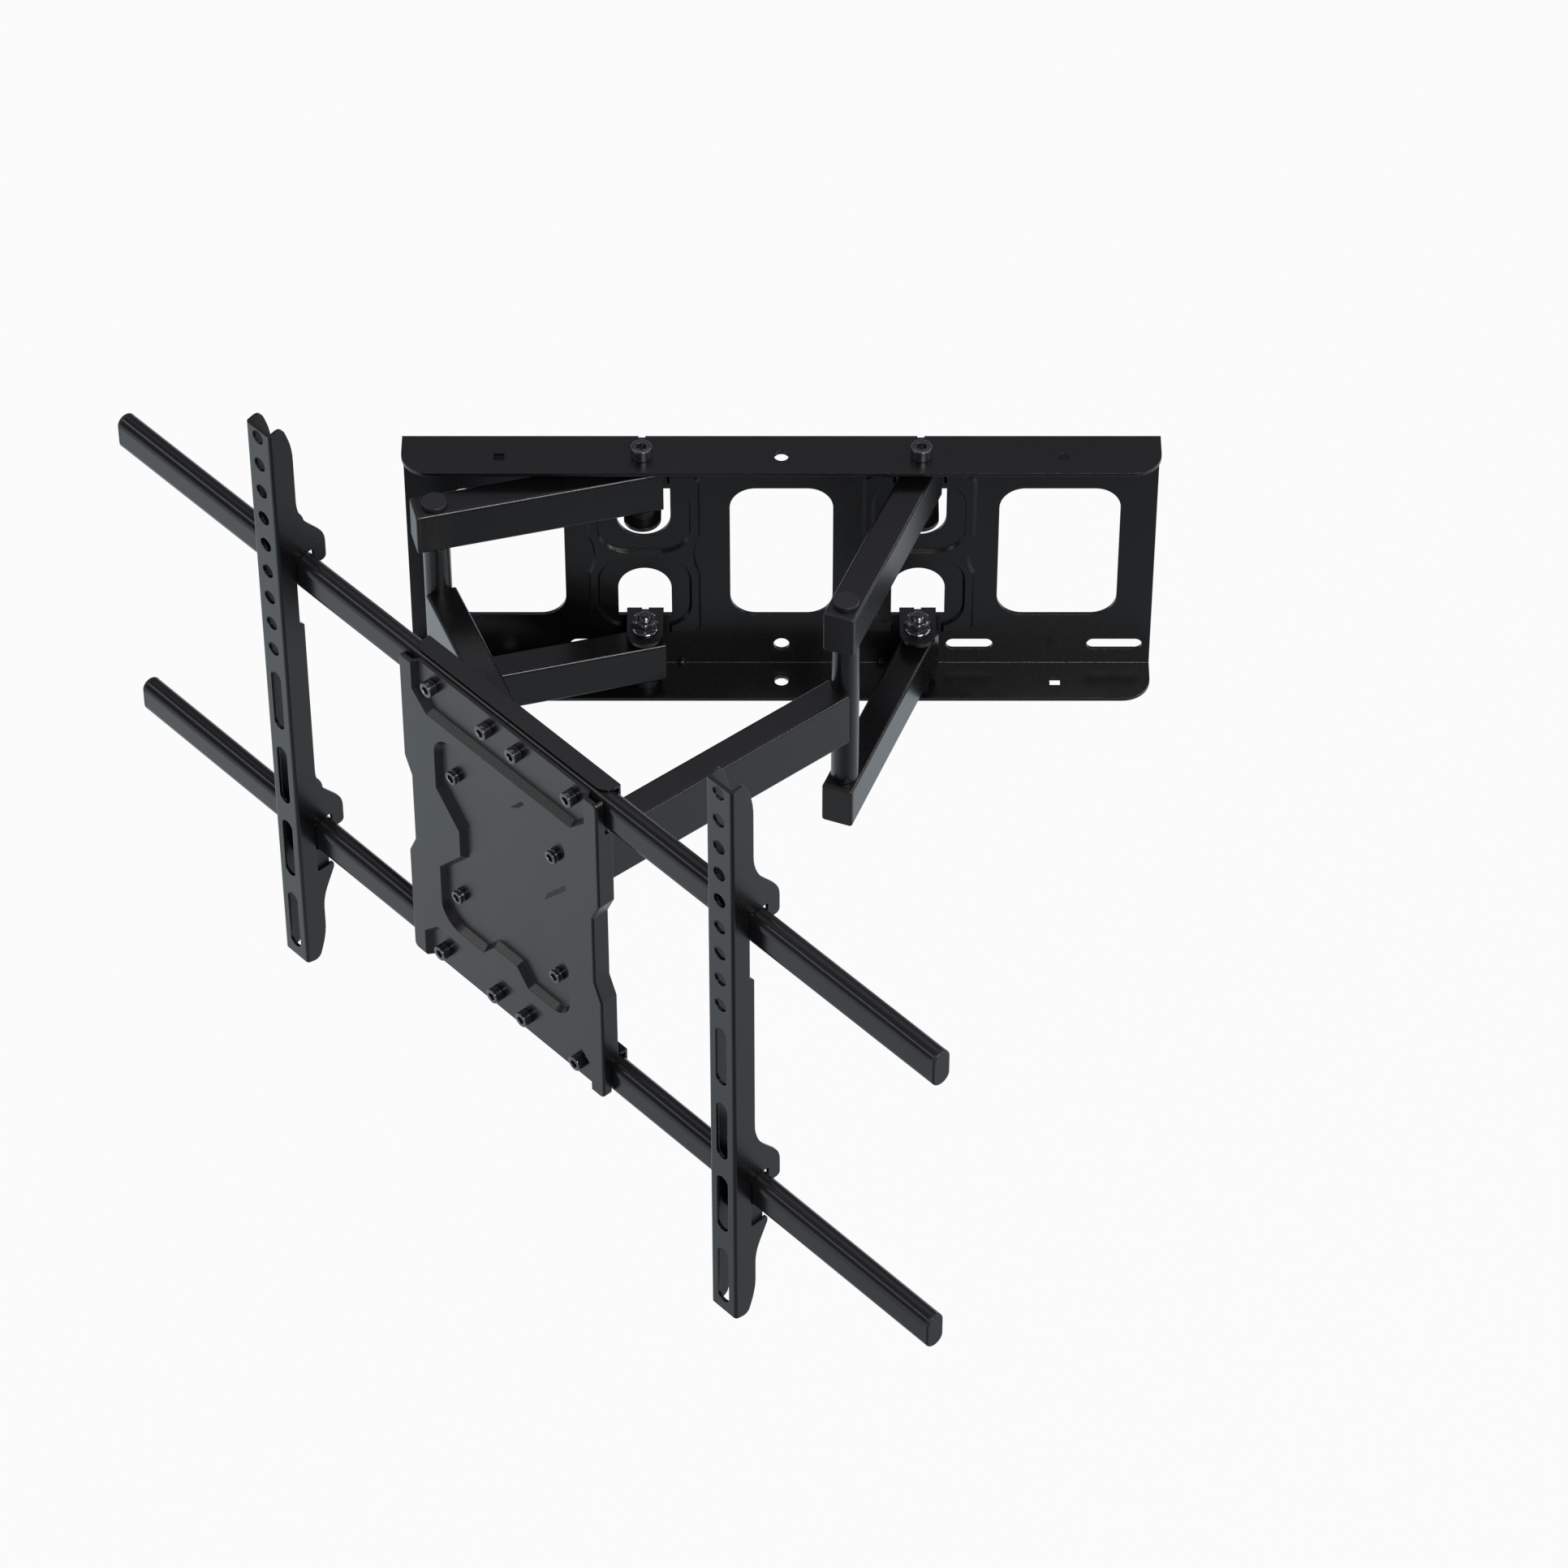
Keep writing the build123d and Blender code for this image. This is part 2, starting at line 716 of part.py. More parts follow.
# Tilt screws on one cross axis, nuts inside the yoke
nut_start = yoke_width / 2 - yoke_sheet
tilt_screw_tip = nut_start - nut_flange_height - nut_height - thread_end / 2
with BuildPart() as tilt_screws:
    for side in (-1, 1):
        with BuildSketch(head_side.offset(side * tilt_screw_tip)):
            with Locations((tilt_axis_back, 0)):
                Circle(screw_size / 2)
        extrude(amount=side * (ear_outside + face_play - tilt_screw_tip))
        with BuildSketch(head_side.offset(side * (ear_outside + face_play))):
            with Locations((tilt_axis_back, 0)):
                Circle(screw_head / 2)
        extrude(amount=side * screw_head_height)
        with BuildSketch(head_side.offset(side * (ear_outside + face_play + screw_head_height))):
            with Locations((tilt_axis_back, 0)):
                RegularPolygon(screw_key / 2, 6, major_radius=False)
        extrude(amount=-side * screw_key_depth, mode=Mode.SUBTRACT)
keep(tilt_screws.part, "tilt_screws")

with BuildPart() as tilt_nuts:
    for side in (-1, 1):
        with BuildSketch(head_side.offset(side * nut_start)):
            with Locations((tilt_axis_back, 0)):
                Circle(nut_flange / 2)
                Circle(screw_size / 2, mode=Mode.SUBTRACT)
        extrude(amount=-side * nut_flange_height)
        with BuildSketch(head_side.offset(side * (nut_start - nut_flange_height))):
            with Locations((tilt_axis_back, 0)):
                RegularPolygon(nut_across / 2, 6, major_radius=False)
                Circle(screw_size / 2, mode=Mode.SUBTRACT)
        extrude(amount=-side * nut_height)
keep(tilt_nuts.part, "tilt_nuts")


def four_ways(quarter):
    """A whole outline from the corners in its upper right quarter."""
    right = quarter + [(x, -y) for x, y in reversed(quarter)]
    return right + [(-x, y) for x, y in reversed(right)]


# Head plate outlines
rail_level = rail_spacing / 2
side_half = head_plate_width / 2
top_half = rail_level + head_plate_rim
band_edge = rail_level - band_reach
pocket_height = 2 * (band_edge - pocket_gap)
waist_corners = four_ways(
    [
        (side_half, top_half),
        (side_half, waist_height / 2 + waist_slope),
        (waist_width / 2, waist_height / 2),
    ]
)
pocket_corners = four_ways(
    [
        (pocket_dip_width / 2, pocket_height / 2 - pocket_dip),
        (pocket_dip_width / 2 + pocket_dip_slope, pocket_height / 2),
        (pocket_width / 2, pocket_height / 2),
        (pocket_width / 2, pocket_notch_height / 2 + pocket_notch_slope),
        (pocket_width / 2 - pocket_notch, pocket_notch_height / 2),
    ]
)
band_corners = [
    (-band_width / 2, 2 * top_half),
    (-band_width / 2, band_edge + band_chamfer),
    (-band_width / 2 + band_chamfer, band_edge),
    (band_width / 2 - band_chamfer, band_edge),
    (band_width / 2, band_edge + band_chamfer),
    (band_width / 2, 2 * top_half),
]


def plate_outline(inset):
    """The head plate's outline, drawn in by the inset."""
    with BuildSketch() as outline:
        Polygon(*waist_corners, align=None)
        corners = outline.vertices().filter_by(lambda corner: abs(corner.Y) > top_half - 1)
        fillet(corners, head_corner)
        if inset:
            offset(amount=-inset)
    return outline.sketch


def open_outline(inset):
    """The outline drawn in at both sides and run out past the top and bottom."""
    with BuildSketch() as outline:
        Polygon(
            *four_ways(
                [
                    (side_half - inset, 2 * top_half),
                    (side_half - inset, waist_height / 2 + waist_slope),
                    (waist_width / 2 - inset, waist_height / 2),
                ]
            ),
            align=None,
        )
    return outline.sketch


def recess(index, grow):
    """The middle pocket, or one of the two bands for the rails, grown all round."""
    with BuildSketch() as low:
        if index == 0:
            Polygon(*pocket_corners, align=None)
            corners = low.vertices().filter_by(
                lambda corner: abs(corner.X) > pocket_width / 2 - 1
                and abs(corner.Y) > pocket_height / 2 - 1
            )
            fillet(corners, pocket_corner)
        elif index == 1:
            Polygon(*band_corners, align=None)
        else:
            Polygon(*[(x, -y) for x, y in reversed(band_corners)], align=None)
        offset(amount=grow, kind=Kind.INTERSECTION)
    return low.sketch


# The pressed walls slope: half their run lies to each side of the drawn outline
wall_lean = math.radians(field_slope)
wall_run = field_rise * math.tan(wall_lean)
back_run = head_sheet / math.cos(wall_lean) - head_sheet * math.tan(wall_lean) - wall_run / 2
with BuildPart() as field_hollow:
    with BuildSketch(head.offset(rail_front)):
        add(open_outline(head_sheet))
    extrude(amount=field_rise)
    for index in range(3):
        with BuildSketch(head.offset(rail_front + field_rise)):
            add(recess(index, back_run + wall_run))
        extrude(amount=-field_rise, taper=field_slope, mode=Mode.SUBTRACT)

rail_screws_at = [
    (x * spacing / 2, y * rail_level)
    for spacing in (rail_screw_inner, rail_screw_outer)
    for x in (-1, 1)
    for y in (-1, 1)
]
lip_half = rail_level - rail_height / 2 - 2 * rail_lip_play
lip_end = field_front - lip_depth
with BuildPart() as head_plate:
    with BuildSketch(head.offset(rail_front)):
        add(plate_outline(0))
    extrude(amount=field_front - rail_front)
    front_edges = head_plate.edges().filter_by(
        lambda edge: head.to_local_coords(edge.center()).Z > field_front - head_sheet / 4
    )
    fillet(front_edges, field_bend)
    for index in range(3):
        with BuildSketch(head.offset(field_front)):
            add(recess(index, wall_run / 2))
        extrude(amount=-field_rise, taper=field_slope, mode=Mode.SUBTRACT)
    add(field_hollow.part, mode=Mode.SUBTRACT)
    # Lips folded back along both sides, shorter where the rails pass
    with BuildSketch(head.offset(lip_end)):
        add(plate_outline(0))
        add(open_outline(head_sheet), mode=Mode.SUBTRACT)
        Rectangle(2 * head_plate_width, 2 * lip_half, mode=Mode.INTERSECT)
    extrude(amount=rail_front + field_rise / 2 - lip_end)
    lip_corners = head_plate.edges().filter_by(
        lambda edge: abs(head.to_local_coords(edge.center()).Z - lip_end) < head_sheet / 4
        and abs(abs(head.to_local_coords(edge.center()).Y) - lip_half) < head_sheet / 4
    )
    fillet(lip_corners, lip_corner)
    with BuildSketch(head.offset(rail_front)):
        with Locations((0, rail_level), (0, -rail_level)):
            with GridLocations(head_plate_width, 0, 2, 1):
                Rectangle(4 * head_sheet, rail_height + 4 * rail_lip_play)
    extrude(amount=rail_lip_play, mode=Mode.SUBTRACT)
    with BuildSketch(head):
        with Locations(*rail_screws_at):
            Circle((rail_screw + screw_hole_play) / 2)
        with GridLocations(plate_screw_width, plate_screw_height, 2, 2):
            Circle((rail_screw + screw_hole_play) / 2)
    extrude(amount=2 * field_front, mode=Mode.SUBTRACT)
keep(head_plate.part, "head_plate")

# Rails: two halves each, meeting at the middle of the head
rail_half = rail_length / 2 - rail_cap
for level, height in (("upper", rail_level), ("lower", -rail_level)):
    for side, start in (("left", -rail_half), ("right", rail_seam / 2)):
        with BuildPart() as rail:
            with BuildSketch(head_side.offset(start)):
                with Locations((0, height)):
                    SlotOverall(rail_height, rail_depth, rotation=90)
                    SlotOverall(
                        rail_height - 2 * rail_wall,
                        rail_depth - 2 * rail_wall,
                        rotation=90,
                        mode=Mode.SUBTRACT,
                    )
            extrude(amount=rail_half - rail_seam / 2)
            with BuildSketch(head.offset(-rail_depth)):
                with Locations(*rail_screws_at):
                    Circle((rail_screw + screw_hole_play) / 2)
            extrude(amount=2 * rail_depth, mode=Mode.SUBTRACT)
        keep(rail.part, f"{level}_{side}_rail")

with BuildPart() as rail_caps:
    for side in (-1, 1):
        for height in (-rail_level, rail_level):
            with BuildSketch(head_side.offset(side * rail_half)):
                with Locations((0, height)):
                    SlotOverall(rail_height, rail_depth, rotation=90)
            extrude(amount=side * rail_cap)
    rims = rail_caps.edges().filter_by(
        lambda edge: abs(head_side.to_local_coords(edge.center()).Z) > rail_half + rail_cap - 0.1
    )
    fillet(rims, rail_cap / 2)
    for side in (-1, 1):
        for height in (-rail_level, rail_level):
            with BuildSketch(head_side.offset(side * rail_half)):
                with Locations((0, height)):
                    SlotOverall(
                        rail_height - 2 * rail_wall - 2 * cap_play,
                        rail_depth - 2 * rail_wall - 2 * cap_play,
                        rotation=90,
                    )
            extrude(amount=-side * rail_cap_depth)
keep(rail_caps.part, "rail_end_caps")

# Channels behind the rails
channel_front = rail_front + channel_play
channel_back = channel_front + channel_sheet
for level, height in (("upper", rail_level), ("lower", -rail_level)):
    with BuildPart() as channel:
        outside = rail_height + 2 * channel_play + 2 * channel_sheet
        with BuildSketch(head_side.offset(-channel_length / 2)):
            with Locations((channel_back, height)):
                Rectangle(channel_flange, outside, align=(Align.MAX, Align.CENTER))
            with Locations((channel_front, height)):
                Rectangle(
                    channel_flange,
                    outside - 2 * channel_sheet,
                    align=(Align.MAX, Align.CENTER),
                    mode=Mode.SUBTRACT,
                )
        extrude(amount=channel_length)
        corners = channel.edges().filter_by(Axis.Z).filter_by(
            lambda edge: head.to_local_coords(edge.center()).Z > 0
        )
        fillet(corners, channel_corner)
        with BuildSketch(head.offset(-2 * channel_back)):
            with Locations(*rail_screws_at):
                Circle((rail_screw + screw_hole_play) / 2)
        extrude(amount=2 * channel_back, mode=Mode.SUBTRACT)
    keep(channel.part, f"{level}_rail_channel")


def plate_screw(places, base, tip, head_size, head_height):
    """Socket head screws square to the head plate."""
    with BuildPart() as screws:
        with BuildSketch(head.offset(tip)):
            with Locations(*places):
                Circle(rail_screw / 2)
        extrude(amount=base - tip)
        with BuildSketch(head.offset(base)):
            with Locations(*places):
                Circle(head_size / 2)
        extrude(amount=head_height)
        with BuildSketch(head.offset(base + head_height / 2)):
            with Locations(*places):
                RegularPolygon(rail_screw_key / 2, 6, major_radius=False)
        extrude(amount=head_height, mode=Mode.SUBTRACT)
    return screws.part


def plate_nut(places, top):
    """Hexagon nuts against a back face of the head."""
    with BuildPart() as nuts:
        with BuildSketch(head.offset(top)):
            with Locations(*places):
                RegularPolygon(rail_nut_across / 2, 6, major_radius=False)
                Circle(rail_screw / 2, mode=Mode.SUBTRACT)
        extrude(amount=-rail_nut_height)
    return nuts.part


plate_screws_at = [
    (x * plate_screw_width / 2, y * plate_screw_height / 2) for x in (-1, 1) for y in (-1, 1)
]
rail_tip = -channel_back - rail_nut_height - thread_end / 2
plate_tip = tilt_back - rail_nut_height - thread_end / 2
keep(
    plate_screw(rail_screws_at, recess_front, rail_tip, rail_screw_head, rail_screw_head_height),
    "rail_screws",
)
keep(plate_nut(rail_screws_at, -channel_back), "rail_nuts")
keep(
    plate_screw(plate_screws_at, recess_front, plate_tip, plate_screw_head, plate_screw_head_height),
    "plate_screws",
)
keep(plate_nut(plate_screws_at, tilt_back), "plate_screw_nuts")


def rounded_outline(corners):
    """An area bounded by lines and tangent arcs, its corners given as X, Y and radius."""
    count = len(corners)
    entries = []
    for index, (x, y, radius) in enumerate(corners):
        before = Vector(*corners[index - 1][:2]) - Vector(x, y)
        after = Vector(*corners[(index + 1) % count][:2]) - Vector(x, y)
        before = before.normalized()
        after = after.normalized()
        half = math.acos(max(-1.0, min(1.0, before.dot(after)))) / 2
        reach = radius / math.tan(half)
        bow = (before + after).normalized() * (radius / math.sin(half) - radius)
        corner = Vector(x, y)
        entries.append((corner + before * reach, corner + bow, corner + after * reach, radius))
    with BuildSketch() as area:
        with BuildLine():
            for index, (first, middle, last, radius) in enumerate(entries):
                if radius:
                    ThreePointArc(first, middle, last)
                Line(last, entries[(index + 1) % count][0])
        make_face()
    return area.sketch


# Screen brackets: the side outline hooks over both rails
notch_front = rail_front + rail_play
hook_inside = -rail_front - rail_play
upper_notch = rail_level + rail_height / 2 + rail_play
lower_notch = -rail_level + rail_height / 2 + rail_play
lip_top = -rail_level - lower_notch_drop
bracket_outline = [
    (bracket_front, bracket_top, 0),
    (bracket_end_front, bracket_top + bracket_end_rise, bracket_end_round),
    (flange_back, bracket_top - bracket_end_height, bracket_end_sweep),
    (flange_back, rail_level + hook_root, hook_root_round),
    (hook_back, rail_level + hook_rise, hook_round),
    (hook_back, rail_level + hook_drop, hook_tip_round),
    (hook_inside, rail_level + hook_drop, 1),
    (hook_inside, upper_notch, 1),
    (notch_front, upper_notch, 1),
    (notch_front, rail_level - notch_drop, 0.5),
    (flange_back, rail_level - notch_drop - notch_step, 0.5),
    (flange_back, hook_root - rail_level, hook_root_round),
    (hook_back, hook_rise - rail_level, hook_round),
    (hook_back, hook_drop - rail_level, hook_tip_round),
    (hook_inside, hook_drop - rail_level, 1),
    (hook_inside, lower_notch, 1),
    (notch_front, lower_notch, 1),
    (notch_front, lip_top, 1),
    (lower_lip_back, lip_top, 1),
    (lower_lip_back, lip_top - 4, 3),
    (flange_back, lip_top - lower_lip_height, lower_lip_round),
    (flange_back, bracket_bottom + bracket_end_height, bracket_end_sweep),
    (bracket_end_front, bracket_bottom - bracket_end_rise, bracket_end_round),
    (bracket_front, bracket_bottom, 0),
]
hole_heights = [
    bracket_top - bracket_hole_first - bracket_hole_pitch * index for index in range(bracket_holes)
]
slot_heights = [
    bracket_slot_first - bracket_slot_pitch * index for index in range(bracket_slots)
]
for side, middle in (
    ("left", -bracket_spacing / 2),
    ("right", bracket_spacing / 2),
):
    with BuildPart() as bracket:
        with BuildSketch(head_side.offset(middle - bracket_width / 2)):
            add(rounded_outline([(-depth, height, radius) for depth, height, radius in bracket_outline]))
        extrude(amount=bracket_width)
        front_edges = bracket.edges().filter_by(Axis.Z).filter_by(
            lambda edge: head.to_local_coords(edge.center()).Z > bracket_front - 0.1
        )
        fillet(front_edges, bracket_corner)
        with BuildSketch(head_side.offset(middle - bracket_width / 2 + bracket_sheet)):
            with Locations((bracket_sheet - bracket_front, (bracket_top + bracket_bottom) / 2)):
                Rectangle(
                    bracket_front - hook_back,
                    1.2 * (bracket_top - bracket_bottom),
                    align=(Align.MIN, Align.CENTER),
                )
        extrude(amount=bracket_width - 2 * bracket_sheet, mode=Mode.SUBTRACT)
        with BuildSketch(head.offset(bracket_front)):
            with Locations(*[(middle, height) for height in hole_heights]):
                Circle(bracket_hole / 2)
            with Locations(*[(middle, height) for height in slot_heights]):
                SlotOverall(bracket_slot_length, bracket_hole, rotation=90)
        extrude(amount=-2 * bracket_sheet, mode=Mode.SUBTRACT)
    keep(bracket.part, f"{side}_screen_bracket")
    # A block between the flanges keeps the bracket from lifting off the lower rail
    with BuildPart() as rail_stop:
        stop_top = -rail_level - rail_height / 2 - rail_play
        with BuildSketch(head_side.offset(middle - bracket_width / 2 + bracket_sheet)):
            with Locations((-rail_stop_front, lip_top)):
                Rectangle(
                    rail_stop_front - rail_stop_back,
                    stop_top - lip_top,
                    align=(Align.MIN, Align.MIN),
                )
        extrude(amount=bracket_width - 2 * bracket_sheet)
    keep(rail_stop.part, f"{side}_rail_stop")
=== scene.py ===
"""Full motion wall mount for a flat screen: finishes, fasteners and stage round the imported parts."""

import json
import math
from typing import NamedTuple

import bmesh
import bpy
from bpy.props import FloatProperty, FloatVectorProperty, PointerProperty
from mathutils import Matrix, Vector


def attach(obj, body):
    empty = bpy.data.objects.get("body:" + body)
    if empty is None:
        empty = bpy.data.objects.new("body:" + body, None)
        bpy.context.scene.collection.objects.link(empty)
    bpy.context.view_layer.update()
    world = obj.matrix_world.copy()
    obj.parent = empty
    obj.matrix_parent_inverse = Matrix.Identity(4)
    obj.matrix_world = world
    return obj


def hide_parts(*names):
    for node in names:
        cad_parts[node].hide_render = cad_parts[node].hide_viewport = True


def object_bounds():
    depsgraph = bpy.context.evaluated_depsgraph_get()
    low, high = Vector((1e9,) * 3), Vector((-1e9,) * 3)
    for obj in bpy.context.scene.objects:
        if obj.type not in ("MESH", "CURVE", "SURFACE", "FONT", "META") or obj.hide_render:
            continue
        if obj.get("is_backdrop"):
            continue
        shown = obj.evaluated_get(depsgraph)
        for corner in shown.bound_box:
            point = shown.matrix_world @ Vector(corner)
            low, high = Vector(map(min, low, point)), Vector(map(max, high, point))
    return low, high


bl_info = {
    "name": "Screen Wall Mount",
    "version": (1, 0, 0),
    "blender": (4, 5, 0),
    "location": "3D View > Sidebar > Wall Mount",
    "description": "Finishes, fasteners and stage for a full motion wall mount",
    "category": "Object",
}

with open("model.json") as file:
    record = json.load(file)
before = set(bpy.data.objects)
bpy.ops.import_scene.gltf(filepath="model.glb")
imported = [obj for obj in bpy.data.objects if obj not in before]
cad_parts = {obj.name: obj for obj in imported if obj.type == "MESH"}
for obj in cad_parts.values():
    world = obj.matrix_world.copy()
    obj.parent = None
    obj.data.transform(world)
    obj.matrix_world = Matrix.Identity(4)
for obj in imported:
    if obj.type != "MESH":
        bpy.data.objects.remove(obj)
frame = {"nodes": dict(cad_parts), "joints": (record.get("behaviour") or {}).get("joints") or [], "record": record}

SLOTS = {entry["node"]: entry["material_slot"] for entry in frame["record"]["subparts"]}
BODIES = {
    node: body
    for body, nodes in frame["record"]["behaviour"]["bodies"].items()
    for node in nodes
}
JOINTS = {joint["name"]: joint for joint in frame["joints"]}
UP = Vector((0, 0, 1))
ALONG_RAILS = Vector(JOINTS["right_bracket_slide"]["axis"]).normalized()
TO_ROOM = ALONG_RAILS.cross(UP)

# Finishes
BEVEL_SAMPLES = 6
# The gain below sharpens the mask of the highlights painted along sharp edges.
PAINTED_HIGHLIGHT_GAIN = 6.0

# Fastener shapes, in metres where they are lengths
ROUND_SEGMENTS = 96
RIM_STEPS = 5
SHARP_ANGLE = math.radians(25)
SAME_POINT = 1e-6
SEAT_GAP = 1e-5
END_BAND = 1e-4

# Stage
WHITE = (1.0, 1.0, 1.0)
TOP_TINT = (0.90, 0.86, 1.0)
WORLD_TINT = (0.92, 0.93, 1.0)
FLOOR_SHEEN_TINT = (0.85, 0.94, 1.0)
FLOOR_ROUGHNESS = 0.9
FLOOR_REACH = 30.0
LIGHT_AIM = Vector((-0.1, -0.2, 0.0))
FAR_CLIP = 50.0


class Field:
    """A shader value that joins others by plain arithmetic."""

    def __init__(self, nodes, socket):
        self.nodes = nodes
        self.socket = socket

    def join(self, operation, first, second):
        """A Math node on two values."""
        made = self.nodes.node(
            "ShaderNodeMath", {"operation": operation}, Value=first, Value_001=second
        )
        return Field(self.nodes, made.outputs["Value"])

    def __add__(self, other):
        return self.join("ADD", self, other)

    def __radd__(self, other):
        return self.join("ADD", other, self)

    def __sub__(self, other):
        return self.join("SUBTRACT", self, other)

    def __rsub__(self, other):
        return self.join("SUBTRACT", other, self)

    def __mul__(self, other):
        return self.join("MULTIPLY", self, other)

    def __rmul__(self, other):
        return self.join("MULTIPLY", other, self)

    def kept_within(self, low, high):
        """The value held between two limits."""
        return self.join("MINIMUM", self.join("MAXIMUM", self, low), high)


class Nodes:
    """A node tree, with the one way in which nodes are added to it."""

    def __init__(self, tree):
        self.tree = tree

    def node(self, kind, settings=None, **sockets):
        """A node of a kind: its settings first, then a value or a link for each socket named."""
        made = self.tree.nodes.new(kind)
        for name, value in (settings or {}).items():
            setattr(made, name, value)
        for place in made.inputs:
            if place.identifier in sockets:
                self.feed(place, sockets[place.identifier])
        return made

    def feed(self, place, value):
        """Give a socket a plain value, or join a field or another socket to it."""
        if isinstance(value, Field):
            value = value.socket
        if isinstance(value, bpy.types.NodeSocket):
            self.tree.links.new(value, place)
        else:
            place.default_value = value

    def field(self, made, output):
        """An output as a field."""
        return Field(self, made.outputs[output])

    def blend(self, share, first, second):
        """Two colours mixed by a field."""
        made = self.node(
            "ShaderNodeMix", {"data_type": "RGBA"},
            Factor_Float=share, A_Color=(*first, 1.0), B_Color=(*second, 1.0),
        )
        return next(place for place in made.outputs if place.identifier == "Result_Color")


class Finish(Nodes):
    """A node material whose colour, roughness and relief are built up from fields."""

    def __init__(self, name, **constants):
        self.material = bpy.data.materials.new(name)
        self.material.use_nodes = True
        super().__init__(self.material.node_tree)
        self.shader = self.tree.nodes["Principled BSDF"]
        for label, value in constants.items():
            self.shader.inputs[label.replace("_", " ")].default_value = value
        self.place = self.node("ShaderNodeTexCoord").outputs["Object"]
        self.plain = self.node("ShaderNodeNewGeometry").outputs["Normal"]
        self.relief = self.plain

    def grain(self, scale, detail=2.0, stretch=(1.0, 1.0, 1.0)):
        """Noise between 0 and 1, with its features about one over scale metres wide."""
        spread = self.node("ShaderNodeMapping", Vector=self.place, Scale=stretch)
        made = self.node(
            "ShaderNodeTexNoise", Vector=spread.outputs["Vector"], Scale=scale, Detail=detail
        )
        return self.field(made, "Fac")

    def softened(self, radius):
        """The normal, turned over sharp edges within the radius."""
        return self.node("ShaderNodeBevel", {"samples": BEVEL_SAMPLES}, Radius=radius).outputs["Normal"]

    def edge(self, radius):
        """One along sharp edges, within the radius, and nought on open faces: the mask of the highlights painted
        along edges.
        """
        dot = self.node(
            "ShaderNodeVectorMath", {"operation": "DOT_PRODUCT"},
            Vector=self.softened(radius), Vector_001=self.plain,
        )
        return ((1.0 - self.field(dot, "Value")) * PAINTED_HIGHLIGHT_GAIN).kept_within(0.0, 1.0)

    def rounded(self, radius):
        """Soften the sharp edges that the light catches."""
        self.relief = self.softened(radius)

    def raise_by(self, height, strength, distance):
        """Add relief from a field on top of what is there."""
        bump = self.node(
            "ShaderNodeBump", Height=height, Strength=strength, Distance=distance,
            Normal=self.relief,
        )
        self.relief = bump.outputs["Normal"]

    def done(self, colour, roughness):
        """Join colour, roughness and relief to the shader and give the material back."""
        self.feed(self.shader.inputs["Base Color"], colour)
        self.feed(self.shader.inputs["Roughness"], roughness)
        self.feed(self.shader.inputs["Normal"], self.relief)
        return self.material


def scaled(colour, amount):
    """A colour made lighter or darker."""
    return tuple(channel * amount for channel in colour)


def powder_coat(settings):
    """Fine-textured black powder coat on sheet and tube."""
    finish = Finish("black_powder_coat", Specular_IOR_Level=settings.coat_gloss)
    pebbles = finish.grain(settings.coat_grain, 3.0)
    peel = finish.grain(settings.coat_grain / 5)
    cloud = finish.grain(14.0, 4.0)
    # Highlights are painted along the sharp edges: the edge mask lightens the coat's colour there, besides the
    # real pebble grain and cloudy tone.
    edge = finish.edge(settings.edge_radius)
    tone_and_painted_highlight = (0.30 * cloud + 0.30 * pebbles + 0.55 * edge).kept_within(0.0, 1.0)
    base = tuple(settings.coat_colour)
    colour = finish.blend(tone_and_painted_highlight, scaled(base, 0.75), scaled(base, 1.6))
    roughness = settings.coat_roughness + 0.16 * (pebbles - 0.5) + 0.06 * (cloud - 0.5) - 0.08 * edge
    finish.rounded(settings.edge_radius)
    finish.raise_by(peel, 0.025, 0.0006)
    finish.raise_by(pebbles, 0.12, 0.0002)
    return finish.done(colour, roughness)


def satin_tube(settings):
    """Smoother black coat on the rails."""
    finish = Finish("satin_black_tube", Specular_IOR_Level=settings.rail_gloss)
    pebbles = finish.grain(settings.coat_grain * 1.3)
    cloud = finish.grain(10.0, 4.0)
    # Highlights are painted along the rails' sharp edges: the edge mask lightens their colour there, besides the
    # real cloudy tone and grain.
    edge = finish.edge(settings.edge_radius)
    base = tuple(settings.rail_colour)
    tone_and_painted_highlight = (0.45 * cloud + 0.15 * pebbles + 0.4 * edge).kept_within(0.0, 1.0)
    colour = finish.blend(tone_and_painted_highlight, scaled(base, 0.8), scaled(base, 1.4))
    roughness = settings.rail_roughness + 0.08 * (cloud - 0.5) + 0.06 * (pebbles - 0.5)
    finish.raise_by(pebbles, 0.004, 0.0002)
    return finish.done(colour, roughness)


def black_oxide(settings):
    """Oiled black steel on the fasteners."""
    finish = Finish("black_oxide_steel", Metallic=0.9)
    mottle = finish.grain(420.0, 4.0)
    fine = finish.grain(2600.0)
    # Bright highlights are painted on the fasteners' rims: the edge mask lifts the steel's colour there up to 3.2
    # times, besides its real mottle.
    edge = finish.edge(settings.edge_radius / 2)
    base = tuple(settings.steel_colour)
    tone_and_painted_highlight = (0.4 * mottle + 0.7 * edge).kept_within(0.0, 1.0)
    colour = finish.blend(tone_and_painted_highlight, scaled(base, 0.7), scaled(base, 3.2))
    roughness = settings.steel_roughness + 0.12 * (mottle - 0.5)
    finish.rounded(settings.edge_radius / 2)
    finish.raise_by(fine, 0.04, 0.0001)
    return finish.done(colour, roughness)


